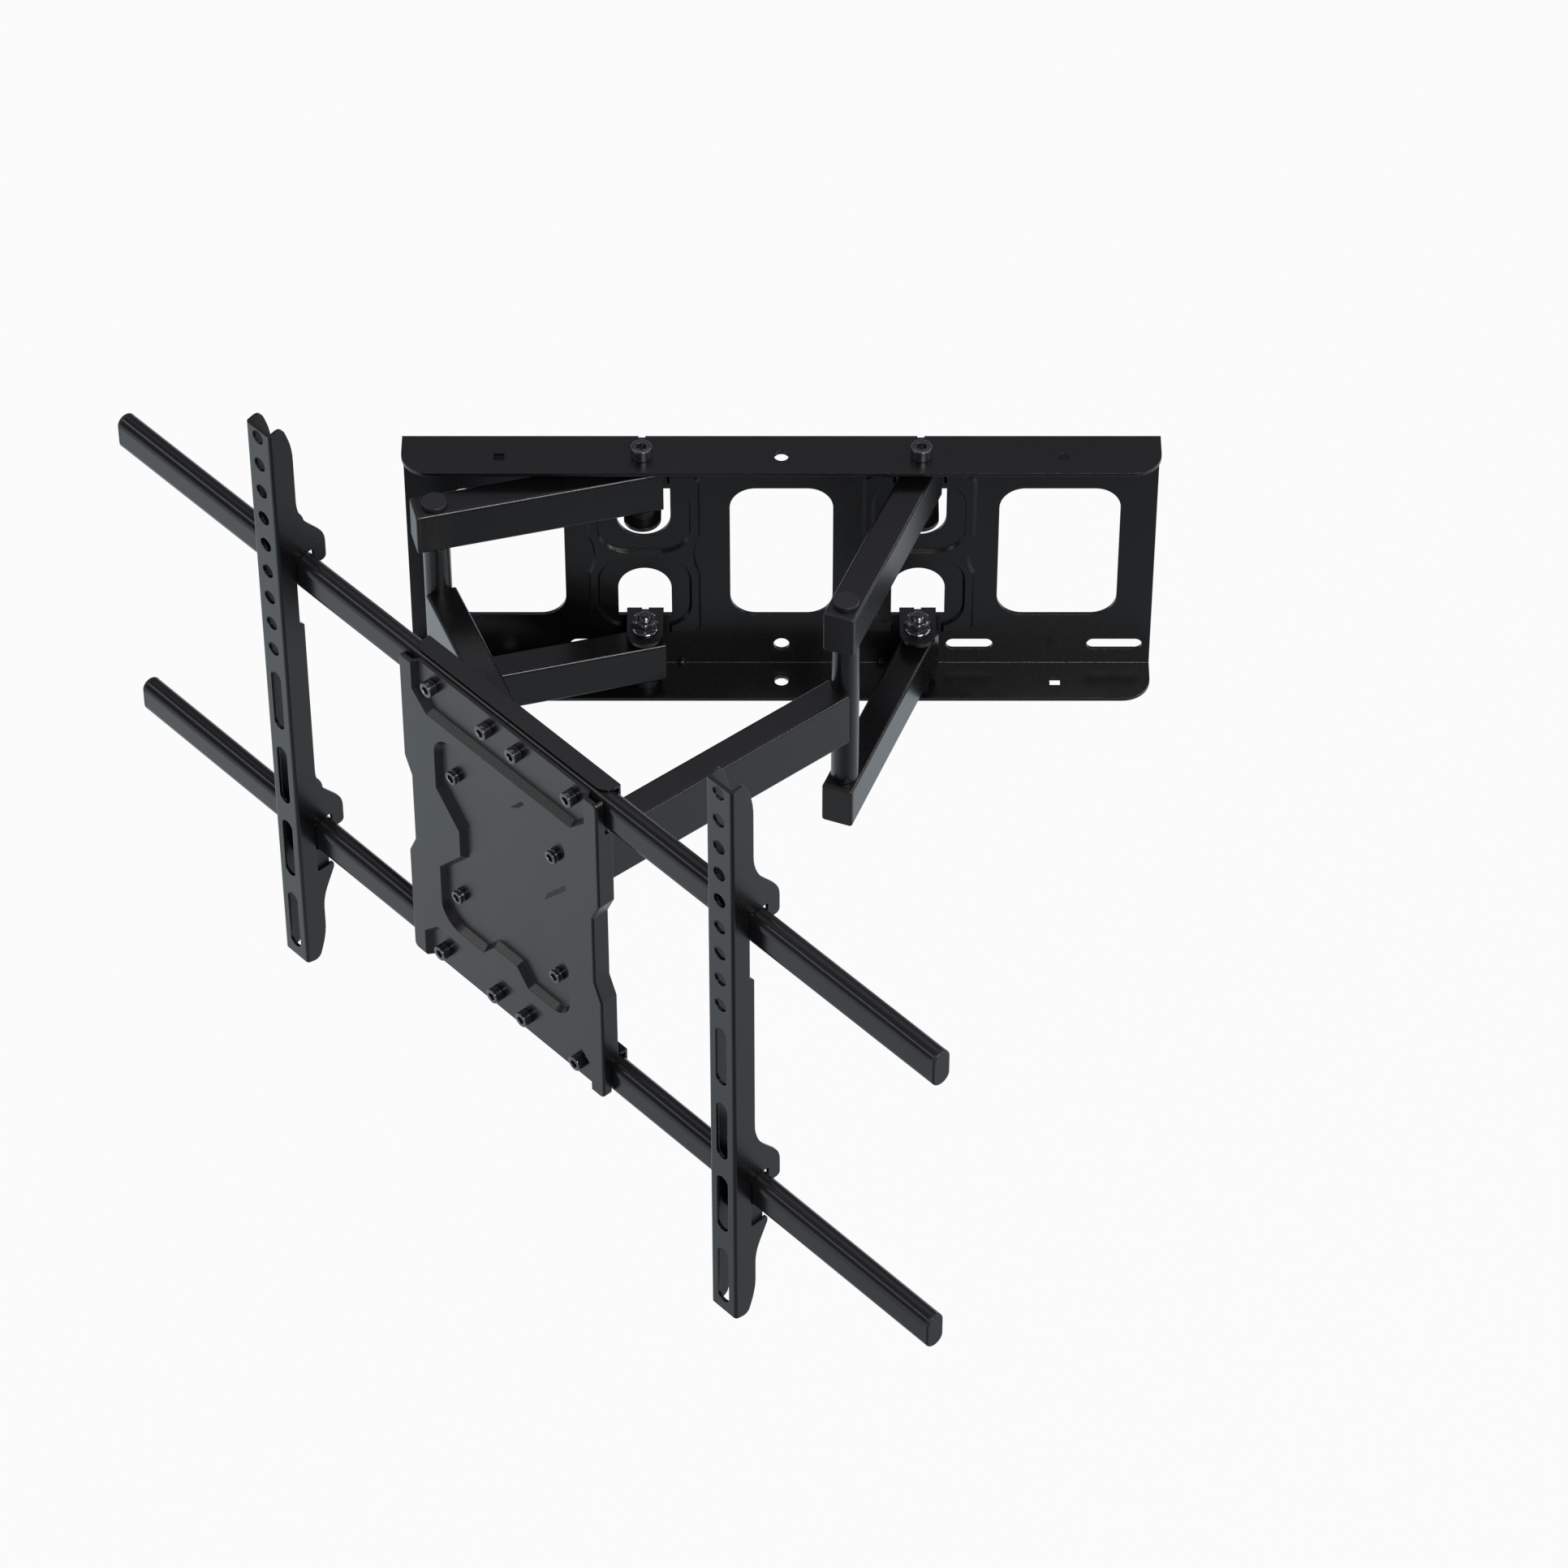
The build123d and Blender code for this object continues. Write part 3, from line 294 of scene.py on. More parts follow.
def moulded_plastic(settings):
    """Black moulded plastic on caps, discs and washers, with a fine spark texture."""
    finish = Finish("black_plastic")
    spark = finish.grain(1800.0)
    cloud = finish.grain(30.0, 3.0)
    # Highlights are painted along the plastic's sharp edges: the edge mask lightens its colour there, besides the
    # real spark and cloudy tone.
    edge = finish.edge(settings.edge_radius)
    base = tuple(settings.plastic_colour)
    tone_and_painted_highlight = (0.35 * cloud + 0.2 * spark + 0.35 * edge).kept_within(0.0, 1.0)
    colour = finish.blend(tone_and_painted_highlight, scaled(base, 0.8), scaled(base, 1.5))
    roughness = settings.plastic_roughness + 0.14 * (spark - 0.5)
    finish.rounded(settings.edge_radius)
    finish.raise_by(spark, 0.14, 0.00015)
    return finish.done(colour, roughness)


def turned_steel(settings):
    """Bare turned steel on the pivot sleeves."""
    finish = Finish("bare_steel", Metallic=1.0)
    turning = finish.grain(900.0, stretch=(0.1, 0.1, 3.0))
    stain = finish.grain(120.0, 4.0)
    base = tuple(settings.sleeve_colour)
    colour = finish.blend(0.6 * turning + 0.4 * stain, scaled(base, 0.75), scaled(base, 1.25))
    finish.raise_by(turning, 0.1, 0.0001)
    return finish.done(colour, 0.26 + 0.2 * stain)


def dress(material, slot):
    """Give every CAD node of one material slot its finish."""
    for node, name in SLOTS.items():
        if name == slot:
            mesh = frame["nodes"][node].data
            mesh.materials.clear()
            mesh.materials.append(material)


def solids(node):
    """The corner points of each separate solid in a CAD node, in the mesh's own order."""
    work = bmesh.new()
    work.from_mesh(frame["nodes"][node].data)
    bmesh.ops.remove_doubles(work, verts=work.verts, dist=SAME_POINT)
    reached = set()
    groups = []
    for start in work.verts:
        if start in reached:
            continue
        reached.add(start)
        group = [start]
        for corner in group:
            for link in corner.link_edges:
                other = link.other_vert(corner)
                if other not in reached:
                    reached.add(other)
                    group.append(other)
        groups.append([corner.co.copy() for corner in group])
    work.free()
    return groups


def span(points, axis):
    """The lowest and highest reach of points along an axis."""
    reach = [point.dot(axis) for point in points]
    return min(reach), max(reach)


def hexagon(across, angle):
    """The distance from a hexagon's middle to its side at an angle."""
    part = (angle + math.pi / 6) % (math.pi / 3) - math.pi / 6
    return across / 2 / math.cos(part)


def hexagon_rules(across, ease):
    """Two rules for a nut's radius: its full sides, and its corners cut back to a circle."""

    def side(angle):
        return hexagon(across, angle)

    def eased(angle):
        return min(side(angle), ease * across / 2)

    return side, eased


def ring_mesh(name, rings, closed=False):
    """A mesh of rings joined one to the next; each ring is a height and a radius or a rule for it."""
    shape = bmesh.new()
    rows = []
    for height, radius in rings:
        row = []
        for index in range(ROUND_SEGMENTS):
            angle = 2 * math.pi * index / ROUND_SEGMENTS
            reach = radius(angle) if callable(radius) else radius
            row.append(
                shape.verts.new((reach * math.cos(angle), reach * math.sin(angle), height))
            )
        rows.append(row)
    pairs = list(zip(rows, rows[1:]))
    if closed:
        pairs.append((rows[-1], rows[0]))
    for lower, upper in pairs:
        for index in range(ROUND_SEGMENTS):
            after = (index + 1) % ROUND_SEGMENTS
            shape.faces.new((lower[index], lower[after], upper[after], upper[index]))
    if not closed:
        shape.faces.new(list(reversed(rows[0])))
        shape.faces.new(rows[-1])
    bmesh.ops.recalc_face_normals(shape, faces=shape.faces)
    mesh = bpy.data.meshes.new(name)
    shape.to_mesh(mesh)
    shape.free()
    return mesh


def thread_rings(low, high, radius, pitch):
    """Rings of a screw thread between two heights, rising one pitch a turn."""
    depth = 0.54 * pitch
    steps = max(2, round((high - low) / (pitch / 4)))

    def at(height):
        def reach(angle):
            phase = (height / pitch - angle / (2 * math.pi)) % 1.0
            return radius - depth * abs(2 * phase - 1)

        return reach

    heights = [low + (high - low) * index / steps for index in range(steps + 1)]
    return [(height, at(height)) for height in heights]


def rounded_rim(top, radius, round_off):
    """Rings of a quarter round from a side up to a flat top."""
    turns = [math.pi / 2 * step / RIM_STEPS for step in range(RIM_STEPS + 1)]
    return [
        (top - round_off * (1 - math.sin(turn)), radius - round_off * (1 - math.cos(turn)))
        for turn in turns
    ]


def socket_screw(name, sizes):
    """A socket head screw along +Z: head above nought, shank below, rounded tip."""
    half = sizes["head"] / 2
    top = sizes["head_height"]
    key = sizes["key"]
    shank = sizes["shank"] / 2
    tip = -sizes["length"]
    pitch = sizes["pitch"]
    thread_top = tip + sizes["thread"]
    waist = half * (1 - sizes.get("groove", 0.0))
    floor = top - sizes["key_depth"]

    def key_side(angle):
        return hexagon(key, angle)

    def key_mouth(angle):
        return 1.05 * hexagon(key, angle)

    rings = [(tip, 0.55 * shank), (tip + 0.2 * pitch, shank - 0.62 * pitch)]
    rings += thread_rings(tip + 0.4 * pitch, thread_top, shank, pitch)
    rings += [
        (min(thread_top + 0.3 * pitch, -SEAT_GAP), shank),
        (0.0, shank),
        (0.0, half * 0.95),
        (0.05 * top, half),
        (0.36 * top, half),
        (0.42 * top, waist),
        (0.52 * top, waist),
        (0.58 * top, half),
        *rounded_rim(top, half, 0.10 * top),
        (top, key_mouth),
        (0.97 * top, key_side),
        (floor, key_side),
        (floor - 0.05 * top, 0.3 * key),
    ]
    return ring_mesh(name, rings)


def flange_nut(name, sizes):
    """A hexagon nut along +Z on a round flange that stands on nought."""
    flange = sizes["flange"] / 2
    rim = sizes["flange_height"]
    top = sizes["height"]
    bore = sizes["bore"] / 2
    across = sizes["across"]
    side, eased = hexagon_rules(across, 1.03)
    rings = [
        (0.0, bore),
        (0.0, 0.96 * flange),
        (0.2 * rim, flange),
        (0.45 * rim, flange),
        (0.8 * rim, 0.93 * flange),
        (rim, lambda angle: max(side(angle), 0.84 * flange)),
        (1.1 * rim, side),
        (0.90 * top, side),
        (0.97 * top, eased),
        (top, 0.97 * across / 2),
        (top, 1.14 * bore),
        (0.94 * top, bore),
    ]
    return ring_mesh(name, rings, closed=True)


def plain_nut(name, sizes):
    """A hexagon nut along +Z, chamfered at both ends."""
    top = sizes["height"]
    bore = sizes["bore"] / 2
    side, eased = hexagon_rules(sizes["across"], 1.02)
    rings = [
        (0.0, 1.12 * bore),
        (0.0, eased),
        (0.10 * top, side),
        (0.90 * top, side),
        (top, eased),
        (top, 1.12 * bore),
        (0.94 * top, bore),
        (0.06 * top, bore),
    ]
    return ring_mesh(name, rings, closed=True)


def repeat_tree():
    """A tree that stands one shape on every point, along the point's direction, and makes it real."""
    tree = bpy.data.node_groups.new("fasteners_on_points", "GeometryNodeTree")
    face = tree.interface
    face.new_socket("Geometry", in_out="INPUT", socket_type="NodeSocketGeometry")
    face.new_socket("Shape", in_out="INPUT", socket_type="NodeSocketObject")
    face.new_socket("Finish", in_out="INPUT", socket_type="NodeSocketMaterial")
    face.new_socket("Geometry", in_out="OUTPUT", socket_type="NodeSocketGeometry")
    nodes = Nodes(tree)
    start = nodes.node("NodeGroupInput")
    points = nodes.node("GeometryNodeMeshToPoints", Mesh=start.outputs["Geometry"])
    shape = nodes.node(
        "GeometryNodeObjectInfo", {"transform_space": "ORIGINAL"}, Object=start.outputs["Shape"]
    )
    heading = nodes.node(
        "GeometryNodeInputNamedAttribute", {"data_type": "FLOAT_VECTOR"}, Name="heading"
    )
    turn = nodes.node(
        "FunctionNodeAlignRotationToVector", {"axis": "Z"}, Vector=heading.outputs["Attribute"]
    )
    stand = nodes.node(
        "GeometryNodeInstanceOnPoints", Points=points.outputs["Points"],
        Instance=shape.outputs["Geometry"], Rotation=turn.outputs["Rotation"],
    )
    real = nodes.node("GeometryNodeRealizeInstances", Geometry=stand.outputs["Instances"])
    paint = nodes.node(
        "GeometryNodeSetMaterial", Geometry=real.outputs["Geometry"],
        Material=start.outputs["Finish"],
    )
    end = nodes.node("NodeGroupOutput")
    nodes.feed(end.inputs["Geometry"], paint.outputs["Geometry"])
    return tree


def stand_on(seats, mesh, material, name):
    """One mesh piece made of a shape on every seat, its +Z along the seat's direction."""
    carrier = bpy.data.meshes.new(name + "_points")
    carrier.from_pydata([tuple(place) for place, heading in seats], [], [])
    headings = carrier.attributes.new("heading", "FLOAT_VECTOR", "POINT")
    headings.data.foreach_set("vector", [value for place, heading in seats for value in heading])
    piece = bpy.data.objects.new(name, carrier)
    shape = bpy.data.objects.new(name + "_shape", mesh)
    for item in (piece, shape):
        bpy.context.scene.collection.objects.link(item)
    tree = bpy.data.node_groups.get("fasteners_on_points") or repeat_tree()
    spread = piece.modifiers.new("spread", "NODES")
    spread.node_group = tree
    values = {"Shape": shape, "Finish": material}
    for entry in tree.interface.items_tree:
        if entry.in_out == "INPUT" and entry.name in values:
            spread[entry.identifier] = values[entry.name]
    bpy.context.view_layer.update()
    depsgraph = bpy.context.evaluated_depsgraph_get()
    result = bpy.data.meshes.new_from_object(piece.evaluated_get(depsgraph))
    piece.modifiers.clear()
    piece.data = result
    result.name = name
    bpy.data.objects.remove(shape)
    result.polygons.foreach_set("use_smooth", [True] * len(result.polygons))
    result.set_sharp_from_angle(angle=SHARP_ANGLE)
    return piece


def put_in_place(node, mesh, seats):
    """Stand a shape on every seat of a node, in its finish, riding on its body and replacing it."""
    piece = stand_on(seats, mesh, frame["nodes"][node].data.materials[0], node + "_made")
    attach(piece, BODIES[node])
    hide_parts(node)


class Standing(NamedTuple):
    """How one plain CAD fastener stands: its heading runs from its narrow end to its wide one."""

    heading: Vector
    wide_end: Vector
    length: float
    width: float


def standings(node, axis):
    """How each solid of a node stands along an axis."""
    side = axis.orthogonal().normalized()
    other = axis.cross(side)
    found = []
    for points in solids(node):
        low, high = span(points, axis)
        across = span(points, side)
        middle = side * (sum(across) / 2) + other * (sum(span(points, other)) / 2)
        low_reach, high_reach = (
            max(
                (point - middle - axis * point.dot(axis)).length
                for point in points
                if abs(point.dot(axis) - level) < END_BAND
            )
            for level in (low, high)
        )
        way, wide = (1, high) if high_reach >= low_reach else (-1, low)
        found.append(
            Standing(axis * way, middle + axis * wide, high - low, across[1] - across[0])
        )
    return found


class MountFinishes(bpy.types.PropertyGroup):
    """Colours and textures of the mount's finishes."""

    coat_colour: FloatVectorProperty(
        name="Powder coat", description="Colour of the coated sheet and arms",
        subtype="COLOR", size=3, default=(0.0028, 0.0028, 0.0034), min=0, max=1,
    )
    coat_roughness: FloatProperty(
        name="Powder coat roughness", description="How matt the coat is",
        subtype="FACTOR", default=0.29, min=0, max=1,
    )
    coat_gloss: FloatProperty(
        name="Powder coat gloss", description="Strength of the coat's mirror reflection",
        subtype="FACTOR", default=0.58, min=0, max=1,
    )
    coat_grain: FloatProperty(
        name="Powder coat grain", description="Pebbles of the coat per metre",
        default=1500.0, min=100, max=10000,
    )
    # This radius also sets how wide the painted edge highlights are.
    edge_radius: FloatProperty(
        name="Edge radius", description="Radius that the coat gives to cut edges",
        subtype="DISTANCE", default=0.0006, min=0, max=0.01,
    )
    rail_colour: FloatVectorProperty(
        name="Rail coat", description="Colour of the oval rails",
        subtype="COLOR", size=3, default=(0.009, 0.009, 0.010), min=0, max=1,
    )
    rail_roughness: FloatProperty(
        name="Rail roughness", description="How matt the rails are",
        subtype="FACTOR", default=0.20, min=0, max=1,
    )
    rail_gloss: FloatProperty(
        name="Rail gloss", description="Strength of the rails' mirror reflection",
        subtype="FACTOR", default=0.36, min=0, max=1,
    )
    steel_colour: FloatVectorProperty(
        name="Fastener steel", description="Colour of screws, nuts and pins",
        subtype="COLOR", size=3, default=(0.105, 0.105, 0.113), min=0, max=1,
    )
    steel_roughness: FloatProperty(
        name="Fastener roughness", description="How matt the fasteners are",
        subtype="FACTOR", default=0.14, min=0, max=1,
    )
    sleeve_colour: FloatVectorProperty(
        name="Sleeve steel", description="Colour of the bare pivot sleeves",
        subtype="COLOR", size=3, default=(0.42, 0.42, 0.43), min=0, max=1,
    )
    plastic_colour: FloatVectorProperty(
        name="Plastic", description="Colour of caps, discs and washers",
        subtype="COLOR", size=3, default=(0.011, 0.011, 0.012), min=0, max=1,
    )
    plastic_roughness: FloatProperty(
        name="Plastic roughness", description="How matt the plastic is",
        subtype="FACTOR", default=0.42, min=0, max=1,
    )


class MountFasteners(bpy.types.PropertyGroup):
    """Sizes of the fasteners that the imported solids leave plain."""

    pivot_key: FloatProperty(
        name="Pivot key", description="Width of the pivot screws' hexagon socket",
        unit="LENGTH", default=0.006, min=0.001, max=0.02,
    )
    rail_key: FloatProperty(
        name="Rail key", description="Width of the rail screws' hexagon socket",
        unit="LENGTH", default=0.005, min=0.001, max=0.02,
    )
    pivot_pitch: FloatProperty(
        name="Pivot pitch", description="Thread pitch of the pivot screws",
        unit="LENGTH", default=0.00125, min=0.0002, max=0.005,
    )
    rail_pitch: FloatProperty(
        name="Rail pitch", description="Thread pitch of the rail screws",
        unit="LENGTH", default=0.001, min=0.0002, max=0.005,
    )
    pivot_thread: FloatProperty(
        name="Pivot thread", description="Threaded length of the pivot screws",
        unit="LENGTH", default=0.014, min=0.001, max=0.1,
    )
    rail_thread: FloatProperty(
        name="Rail thread", description="Threaded length of the rail screws",
        unit="LENGTH", default=0.010, min=0.001, max=0.1,
    )
    pivot_shank: FloatProperty(
        name="Pivot shank", description="Diameter of the pivot screws",
        unit="LENGTH", default=0.008, min=0.001, max=0.02,
    )
    rail_shank: FloatProperty(
        name="Rail shank", description="Diameter of the rail screws",
        unit="LENGTH", default=0.006, min=0.001, max=0.02,
    )
    nut_across: FloatProperty(
        name="Pivot nut", description="Pivot nuts across their flats",
        unit="LENGTH", default=0.013, min=0.002, max=0.04,
    )
    nut_flange_height: FloatProperty(
        name="Nut flange", description="Thickness of the pivot nuts' flange",
        unit="LENGTH", default=0.002, min=0.0005, max=0.01,
    )
    rail_nut_across: FloatProperty(
        name="Rail nut", description="Rail nuts across their flats",
        unit="LENGTH", default=0.010, min=0.002, max=0.04,
    )
    pivot_head_height: FloatProperty(
        name="Pivot head", description="Height of the pivot screws' heads",
        unit="LENGTH", default=0.008, min=0.001, max=0.03,
    )
    rail_head_height: FloatProperty(
        name="Rail screw head", description="Height of the rail screws' heads",
        unit="LENGTH", default=0.006, min=0.001, max=0.03,
    )
    plate_head_height: FloatProperty(
        name="Plate screw head", description="Height of the plate screws' grooved heads",
        unit="LENGTH", default=0.0045, min=0.001, max=0.03,
    )
    plate_groove: FloatProperty(
        name="Plate screw groove", description="Depth of the groove round the plate screws' heads",
        subtype="FACTOR", default=0.10, min=0, max=0.5,
    )


class MountStage(bpy.types.PropertyGroup):
    """Camera, floor and light."""

    camera_place: FloatVectorProperty(
        name="Camera", description="Where the camera stands",
        subtype="TRANSLATION", size=3, default=(0.0016, -2.9943, 2.7737),
    )
    camera_tilt: FloatProperty(
        name="Camera tilt", description="Turn of the camera up from straight down",
        subtype="ANGLE", default=math.radians(45.148),
    )
    camera_lens: FloatProperty(
        name="Lens", description="Focal length on a 36 mm wide sensor",
        unit="CAMERA", default=150.23, min=10, max=500,
    )
    floor_drop: FloatProperty(
        name="Floor drop", description="Distance from the mount down to the floor",
        unit="LENGTH", default=0.55, min=0, max=5,
    )
    floor_tone: FloatProperty(
        name="Floor tone", description="Grey of the floor in the soft light that it passes on",
        subtype="FACTOR", default=0.12, min=0, max=1,
    )
    floor_white: FloatProperty(
        name="Floor white", description="Share of plain white in the floor as it is seen",
        subtype="FACTOR", default=0.96, min=0, max=1,
    )
    # The sheen settings paint a pool of light on the floor as glossy surfaces see it.
    floor_sheen: FloatProperty(
        name="Floor sheen", description="Share of white in the floor below, in glossy surfaces",
        subtype="FACTOR", default=0.575, min=0, max=1,
    )
    floor_sheen_back: FloatProperty(
        name="Sheen to the wall", description="Rise of the floor's sheen per metre to the wall",
        default=0.48, min=-5, max=5,
    )
    floor_sheen_left: FloatProperty(
        name="Sheen to the left", description="Rise of the floor's sheen per metre to the left",
        default=0.06, min=-5, max=5,
    )
    floor_sheen_sides: FloatProperty(
        name="Sheen to the sides",
        description="Rise of the floor's sheen with the square of metres to either side",
        default=0.35, min=-5, max=5,
    )
    left_power: FloatProperty(
        name="Left light", description="Power of the long narrow light at the left",
        unit="POWER", default=8.0, min=0, max=2000,
    )
    right_power: FloatProperty(
        name="Right light", description="Power of the long narrow light at the right",
        unit="POWER", default=26.0, min=0, max=2000,
    )
    front_power: FloatProperty(
        name="Front light", description="Power of the light beside the camera",
        unit="POWER", default=52.0, min=0, max=2000,
    )
    top_power: FloatProperty(
        name="Top light", description="Power of the soft light above the wall",
        unit="POWER", default=6.0, min=0, max=2000,
    )
    world_level: FloatProperty(
        name="World", description="Brightness of the even light from all round",
        default=0.55, min=0, max=5,
    )
    world_sheen: FloatProperty(
        name="World sheen", description="Brightness of the surroundings in glossy surfaces",
        default=0.19, min=0, max=5,
    )


class MOUNT_OT_powder_coat(bpy.types.Operator):
    """Coat the wall plate, arms, yoke, head plate and brackets"""

    bl_idname = "mount.powder_coat"
    bl_label = "Powder Coat"

    def execute(self, context):
        dress(powder_coat(context.scene.mount_finishes), "black_powder_coat")
        return {"FINISHED"}


class MOUNT_OT_rails(bpy.types.Operator):
    """Coat the oval rails"""

    bl_idname = "mount.rails"
    bl_label = "Rails"

    def execute(self, context):
        dress(satin_tube(context.scene.mount_finishes), "satin_black_tube")
        return {"FINISHED"}


class MOUNT_OT_plastic(bpy.types.Operator):
    """Finish the caps, discs, rings and washers"""

    bl_idname = "mount.plastic"
    bl_label = "Plastic Parts"

    def execute(self, context):
        dress(moulded_plastic(context.scene.mount_finishes), "black_plastic")
        return {"FINISHED"}


class MOUNT_OT_steel(bpy.types.Operator):
    """Finish the pins, sleeves and other steel"""

    bl_idname = "mount.steel"
    bl_label = "Steel Parts"

    def execute(self, context):
        dress(black_oxide(context.scene.mount_finishes), "black_oxide_steel")
        dress(turned_steel(context.scene.mount_finishes), "bare_steel")
        return {"FINISHED"}


class MOUNT_OT_screws(bpy.types.Operator):
    """Make the socket head screws with their sockets and threads"""

    bl_idname = "mount.screws"
    bl_label = "Screws"

    def execute(self, context):
        sizes = context.scene.mount_fasteners
        pivot = dict(
            shank=sizes.pivot_shank, key=sizes.pivot_key, pitch=sizes.pivot_pitch,
            head_height=sizes.pivot_head_height, thread=sizes.pivot_thread,
        )
        rail = dict(
            shank=sizes.rail_shank, key=sizes.rail_key, pitch=sizes.rail_pitch,
            head_height=sizes.rail_head_height, thread=sizes.rail_thread,
        )
        plate = dict(rail, head_height=sizes.plate_head_height, groove=sizes.plate_groove)
        jobs = (
            ("upper_wall_pivot_screws", UP, pivot),
            ("lower_wall_pivot_screws", UP, pivot),
            ("head_pivot_screws", UP, pivot),
            ("tilt_screws", ALONG_RAILS, pivot),
            ("rail_screws", TO_ROOM, rail),
            ("plate_screws", TO_ROOM, plate),
        )
        for node, axis, kind in jobs:
            found = standings(node, axis)
            first = found[0]
            tall = kind["head_height"]
            mesh = socket_screw(
                node + "_shape",
                dict(kind, head=first.width, length=first.length - tall, key_depth=tall / 2),
            )
            seats = [(each.wide_end - each.heading * tall, each.heading) for each in found]
            put_in_place(node, mesh, seats)
        return {"FINISHED"}


class MOUNT_OT_nuts(bpy.types.Operator):
    """Make the flange nuts and the plain nuts"""

    bl_idname = "mount.nuts"
    bl_label = "Nuts"

    def execute(self, context):
        sizes = context.scene.mount_fasteners
        flanged = (
            ("wall_pivot_nuts", UP),
            ("head_pivot_nuts", UP),
            ("tilt_nuts", ALONG_RAILS),
        )
        for node, axis in flanged:
            found = standings(node, axis)
            mesh = flange_nut(
                node + "_shape",
                dict(
                    flange=found[0].width, height=found[0].length, across=sizes.nut_across,
                    flange_height=sizes.nut_flange_height, bore=sizes.pivot_shank,
                ),
            )
            seats = [(each.wide_end, -each.heading) for each in found]
            put_in_place(node, mesh, seats)
        for node in ("rail_nuts", "plate_screw_nuts"):
            found = standings(node, TO_ROOM)
            mesh = plain_nut(
                node + "_shape",
                dict(height=found[0].length, bore=sizes.rail_shank, across=sizes.rail_nut_across),
            )
            seats = [
                (each.wide_end - each.heading * each.length, each.heading) for each in found
            ]
            put_in_place(node, mesh, seats)
        return {"FINISHED"}


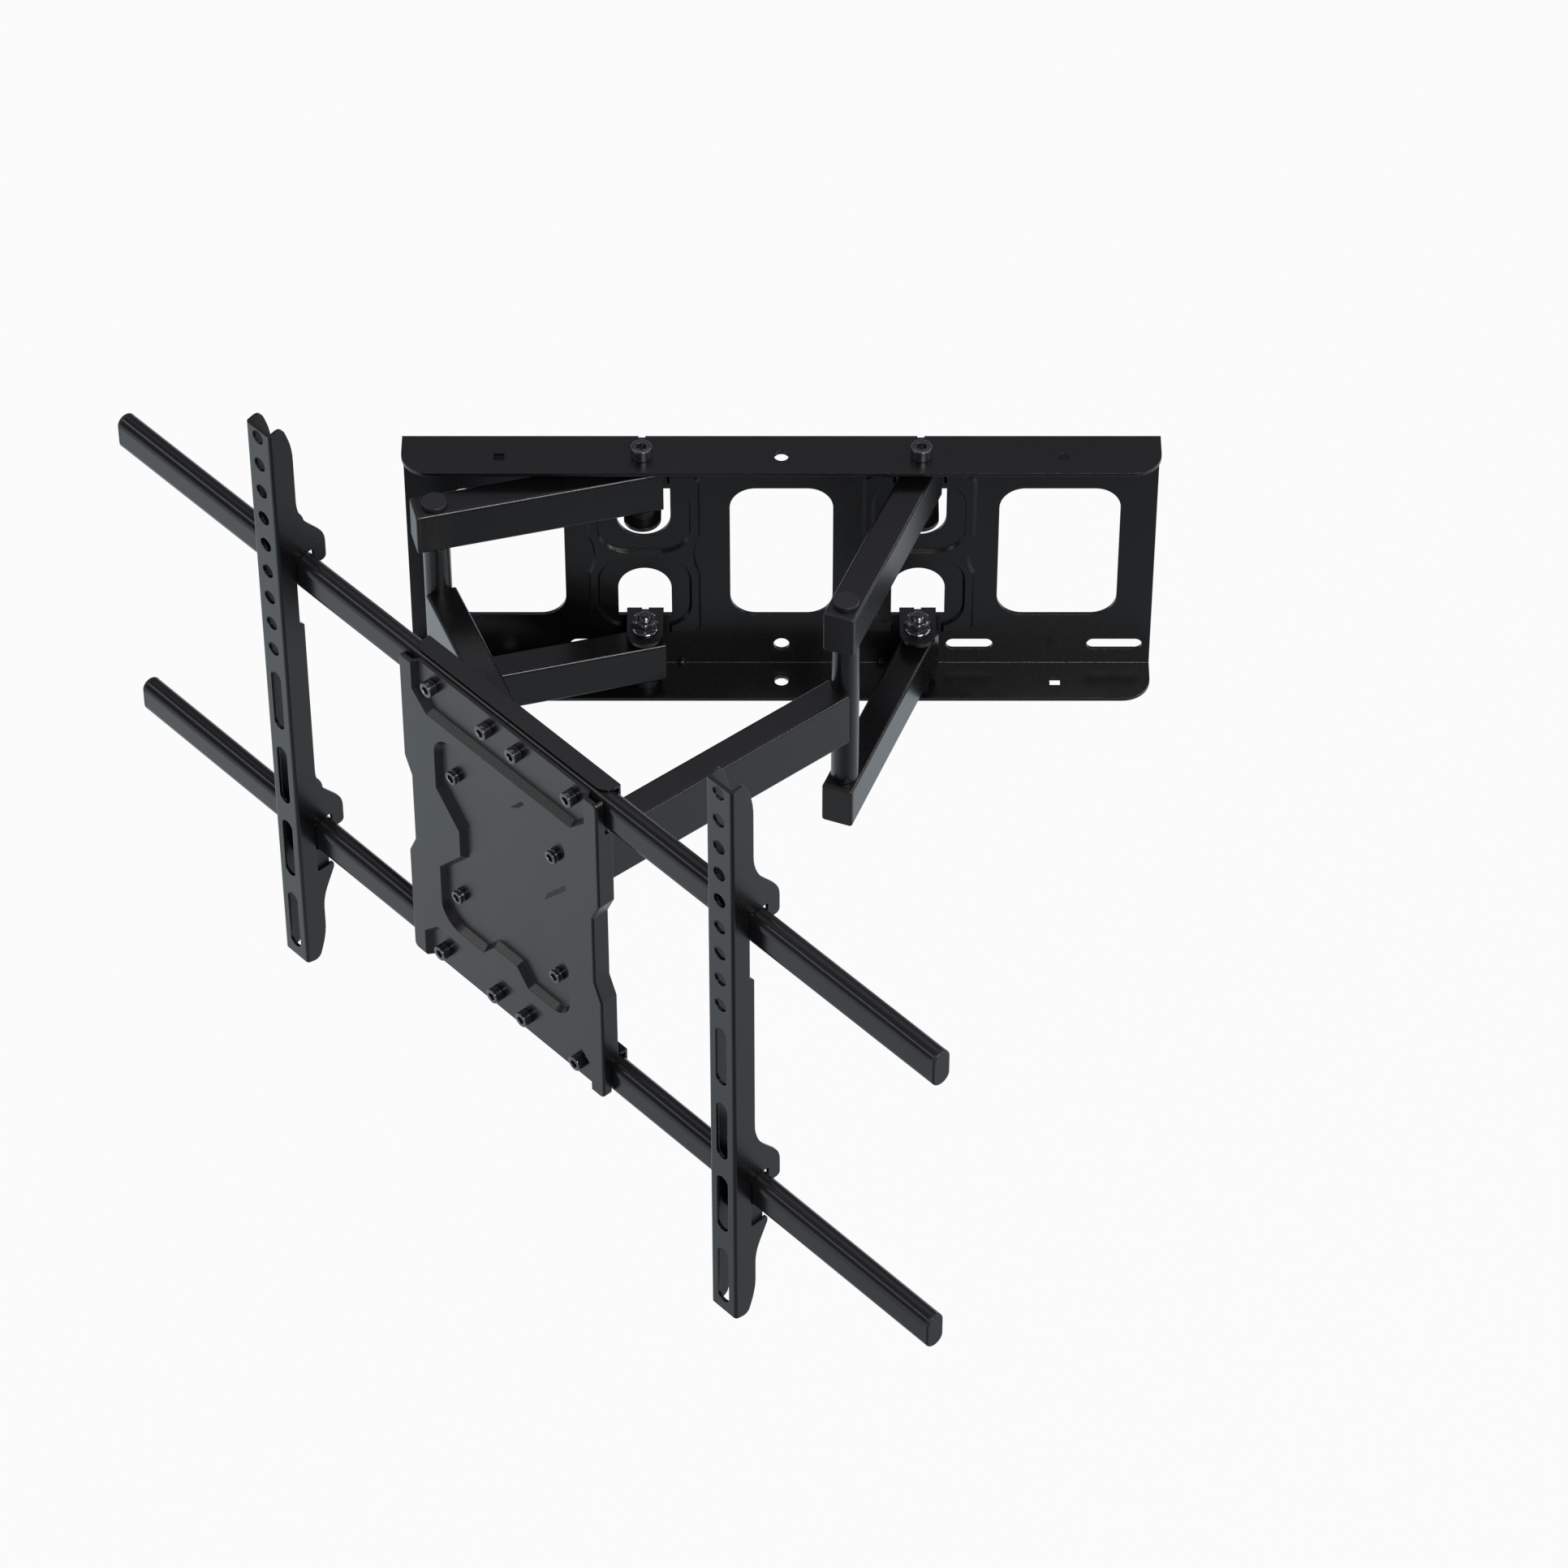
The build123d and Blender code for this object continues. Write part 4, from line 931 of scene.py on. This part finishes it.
class MOUNT_OT_stage(bpy.types.Operator):
    """Set the camera, the lights and the pale floor"""

    bl_idname = "mount.stage"
    bl_label = "Stage"

    def execute(self, context):
        stage = context.scene.mount_stage
        scene = context.scene
        scene.view_settings.view_transform = "Standard"
        camera = bpy.data.objects.new("camera", bpy.data.cameras.new("camera"))
        camera.location = stage.camera_place
        camera.rotation_euler = (stage.camera_tilt, 0, 0)
        camera.data.lens = stage.camera_lens
        camera.data.clip_end = FAR_CLIP
        scene.collection.objects.link(camera)
        scene.camera = camera
        self.light("left", (-2.2, -0.25, 1.65), (2.6, 0.2), stage.left_power)
        self.light("right", (2.2, -0.2, 1.45), (3.4, 0.35), stage.right_power)
        self.light("front", (0.9, -2.1, 2.2), (1.4, 0.7), stage.front_power)
        self.light("top", (0.0, 1.4, 2.7), (2.6, 1.4), stage.top_power, TOP_TINT)
        self.floor(stage)
        self.world(stage.world_level, stage.world_sheen)
        return {"FINISHED"}

    def light(self, name, place, size, power, colour=WHITE):
        """A rectangular soft light aimed at the mount."""
        data = bpy.data.lights.new(name, "AREA")
        data.shape = "RECTANGLE"
        data.size, data.size_y = size
        data.energy = power
        data.color = colour
        lamp = bpy.data.objects.new(name, data)
        lamp.location = place
        lamp.visible_camera = False
        aim = LIGHT_AIM - Vector(place)
        lamp.rotation_euler = aim.to_track_quat("-Z", "Y").to_euler()
        bpy.context.scene.collection.objects.link(lamp)

    def ray_kinds(self, nodes):
        """Two fields: rays that see the background straight, and rays that see it in gloss."""
        path = nodes.node("ShaderNodeLightPath")
        seen = nodes.field(path, "Is Camera Ray") + nodes.field(path, "Is Transmission Ray")
        return seen, nodes.field(path, "Is Glossy Ray")

    def floor(self, stage):
        """A wide pale floor under the mount, whose sheen falls off towards the camera."""
        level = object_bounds()[0][2] - stage.floor_drop
        mesh = bpy.data.meshes.new("floor")
        corners = [(-1, -1), (1, -1), (1, 1), (-1, 1)]
        mesh.from_pydata(
            [(x * FLOOR_REACH, y * FLOOR_REACH, level) for x, y in corners], [], [(0, 1, 2, 3)]
        )
        floor = bpy.data.objects.new("floor", mesh)
        material = bpy.data.materials.new("pale_floor")
        material.use_nodes = True
        nodes = Nodes(material.node_tree)
        shader = nodes.tree.nodes["Principled BSDF"]
        shader.inputs["Base Color"].default_value = (*scaled(WHITE, stage.floor_tone), 1.0)
        shader.inputs["Roughness"].default_value = FLOOR_ROUGHNESS
        place = nodes.node(
            "ShaderNodeSeparateXYZ", Vector=nodes.node("ShaderNodeTexCoord").outputs["Object"]
        )
        across = nodes.field(place, "X")
        # The floor's brightness in glossy surfaces is painted light: a painted pool of light, brighter towards the
        # wall and to the sides, that falls off towards the camera.
        sheen = (
            stage.floor_sheen
            + stage.floor_sheen_back * nodes.field(place, "Y")
            + (stage.floor_sheen_sides * across - stage.floor_sheen_left) * across
        )
        seen, mirrored = self.ray_kinds(nodes)
        share = stage.floor_white * seen + mirrored * sheen.kept_within(0.0, 1.0)
        tint = nodes.blend(mirrored, WHITE, FLOOR_SHEEN_TINT)
        white = nodes.node("ShaderNodeEmission", Color=tint, Strength=1.0)
        mix = nodes.node(
            "ShaderNodeMixShader", Fac=share.kept_within(0.0, 1.0),
            Shader=shader.outputs["BSDF"], Shader_001=white.outputs["Emission"],
        )
        nodes.feed(nodes.tree.nodes["Material Output"].inputs["Surface"], mix.outputs["Shader"])
        mesh.materials.append(material)
        bpy.context.scene.collection.objects.link(floor)
        floor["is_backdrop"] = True

    def world(self, level, sheen):
        """Even light from all round, softer in glossy surfaces and white where the camera sees it."""
        world = bpy.data.worlds.new("studio")
        bpy.context.scene.world = world
        world.use_nodes = True
        nodes = Nodes(world.node_tree)
        even = nodes.tree.nodes["Background"]
        even.inputs["Color"].default_value = (*WORLD_TINT, 1.0)
        white = nodes.node("ShaderNodeBackground", Color=(*WHITE, 1.0), Strength=1.0)
        seen, mirrored = self.ray_kinds(nodes)
        nodes.feed(even.inputs["Strength"], level - (level - sheen) * mirrored)
        mix = nodes.node(
            "ShaderNodeMixShader", Fac=seen.kept_within(0.0, 1.0),
            Shader=even.outputs["Background"], Shader_001=white.outputs["Background"],
        )
        nodes.feed(nodes.tree.nodes["World Output"].inputs["Surface"], mix.outputs["Shader"])


class MOUNT_PT_panel(bpy.types.Panel):
    """Steps that dress the wall mount"""

    bl_label = "Wall Mount"
    bl_idname = "MOUNT_PT_panel"
    bl_space_type = "VIEW_3D"
    bl_region_type = "UI"
    bl_category = "Wall Mount"

    def draw(self, context):
        for step in STEPS:
            self.layout.operator(step.bl_idname)


STEPS = (
    MOUNT_OT_powder_coat,
    MOUNT_OT_rails,
    MOUNT_OT_plastic,
    MOUNT_OT_steel,
    MOUNT_OT_screws,
    MOUNT_OT_nuts,
    MOUNT_OT_stage,
)
GROUPS = {
    "mount_finishes": MountFinishes,
    "mount_fasteners": MountFasteners,
    "mount_stage": MountStage,
}


def register():
    """Add the settings, the steps and the panel."""
    for item in (*GROUPS.values(), *STEPS, MOUNT_PT_panel):
        bpy.utils.register_class(item)
    for name, group in GROUPS.items():
        setattr(bpy.types.Scene, name, PointerProperty(type=group))


def unregister():
    """Take them away again."""
    for name in GROUPS:
        delattr(bpy.types.Scene, name)
    for item in reversed((*GROUPS.values(), *STEPS, MOUNT_PT_panel)):
        bpy.utils.unregister_class(item)


def main():
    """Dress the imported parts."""
    register()
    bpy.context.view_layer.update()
    bpy.ops.mount.powder_coat()
    bpy.ops.mount.rails()
    bpy.ops.mount.plastic()
    bpy.ops.mount.steel()
    bpy.ops.mount.screws()
    bpy.ops.mount.nuts()
    bpy.ops.mount.stage()


if __name__ == "__main__":
    main()
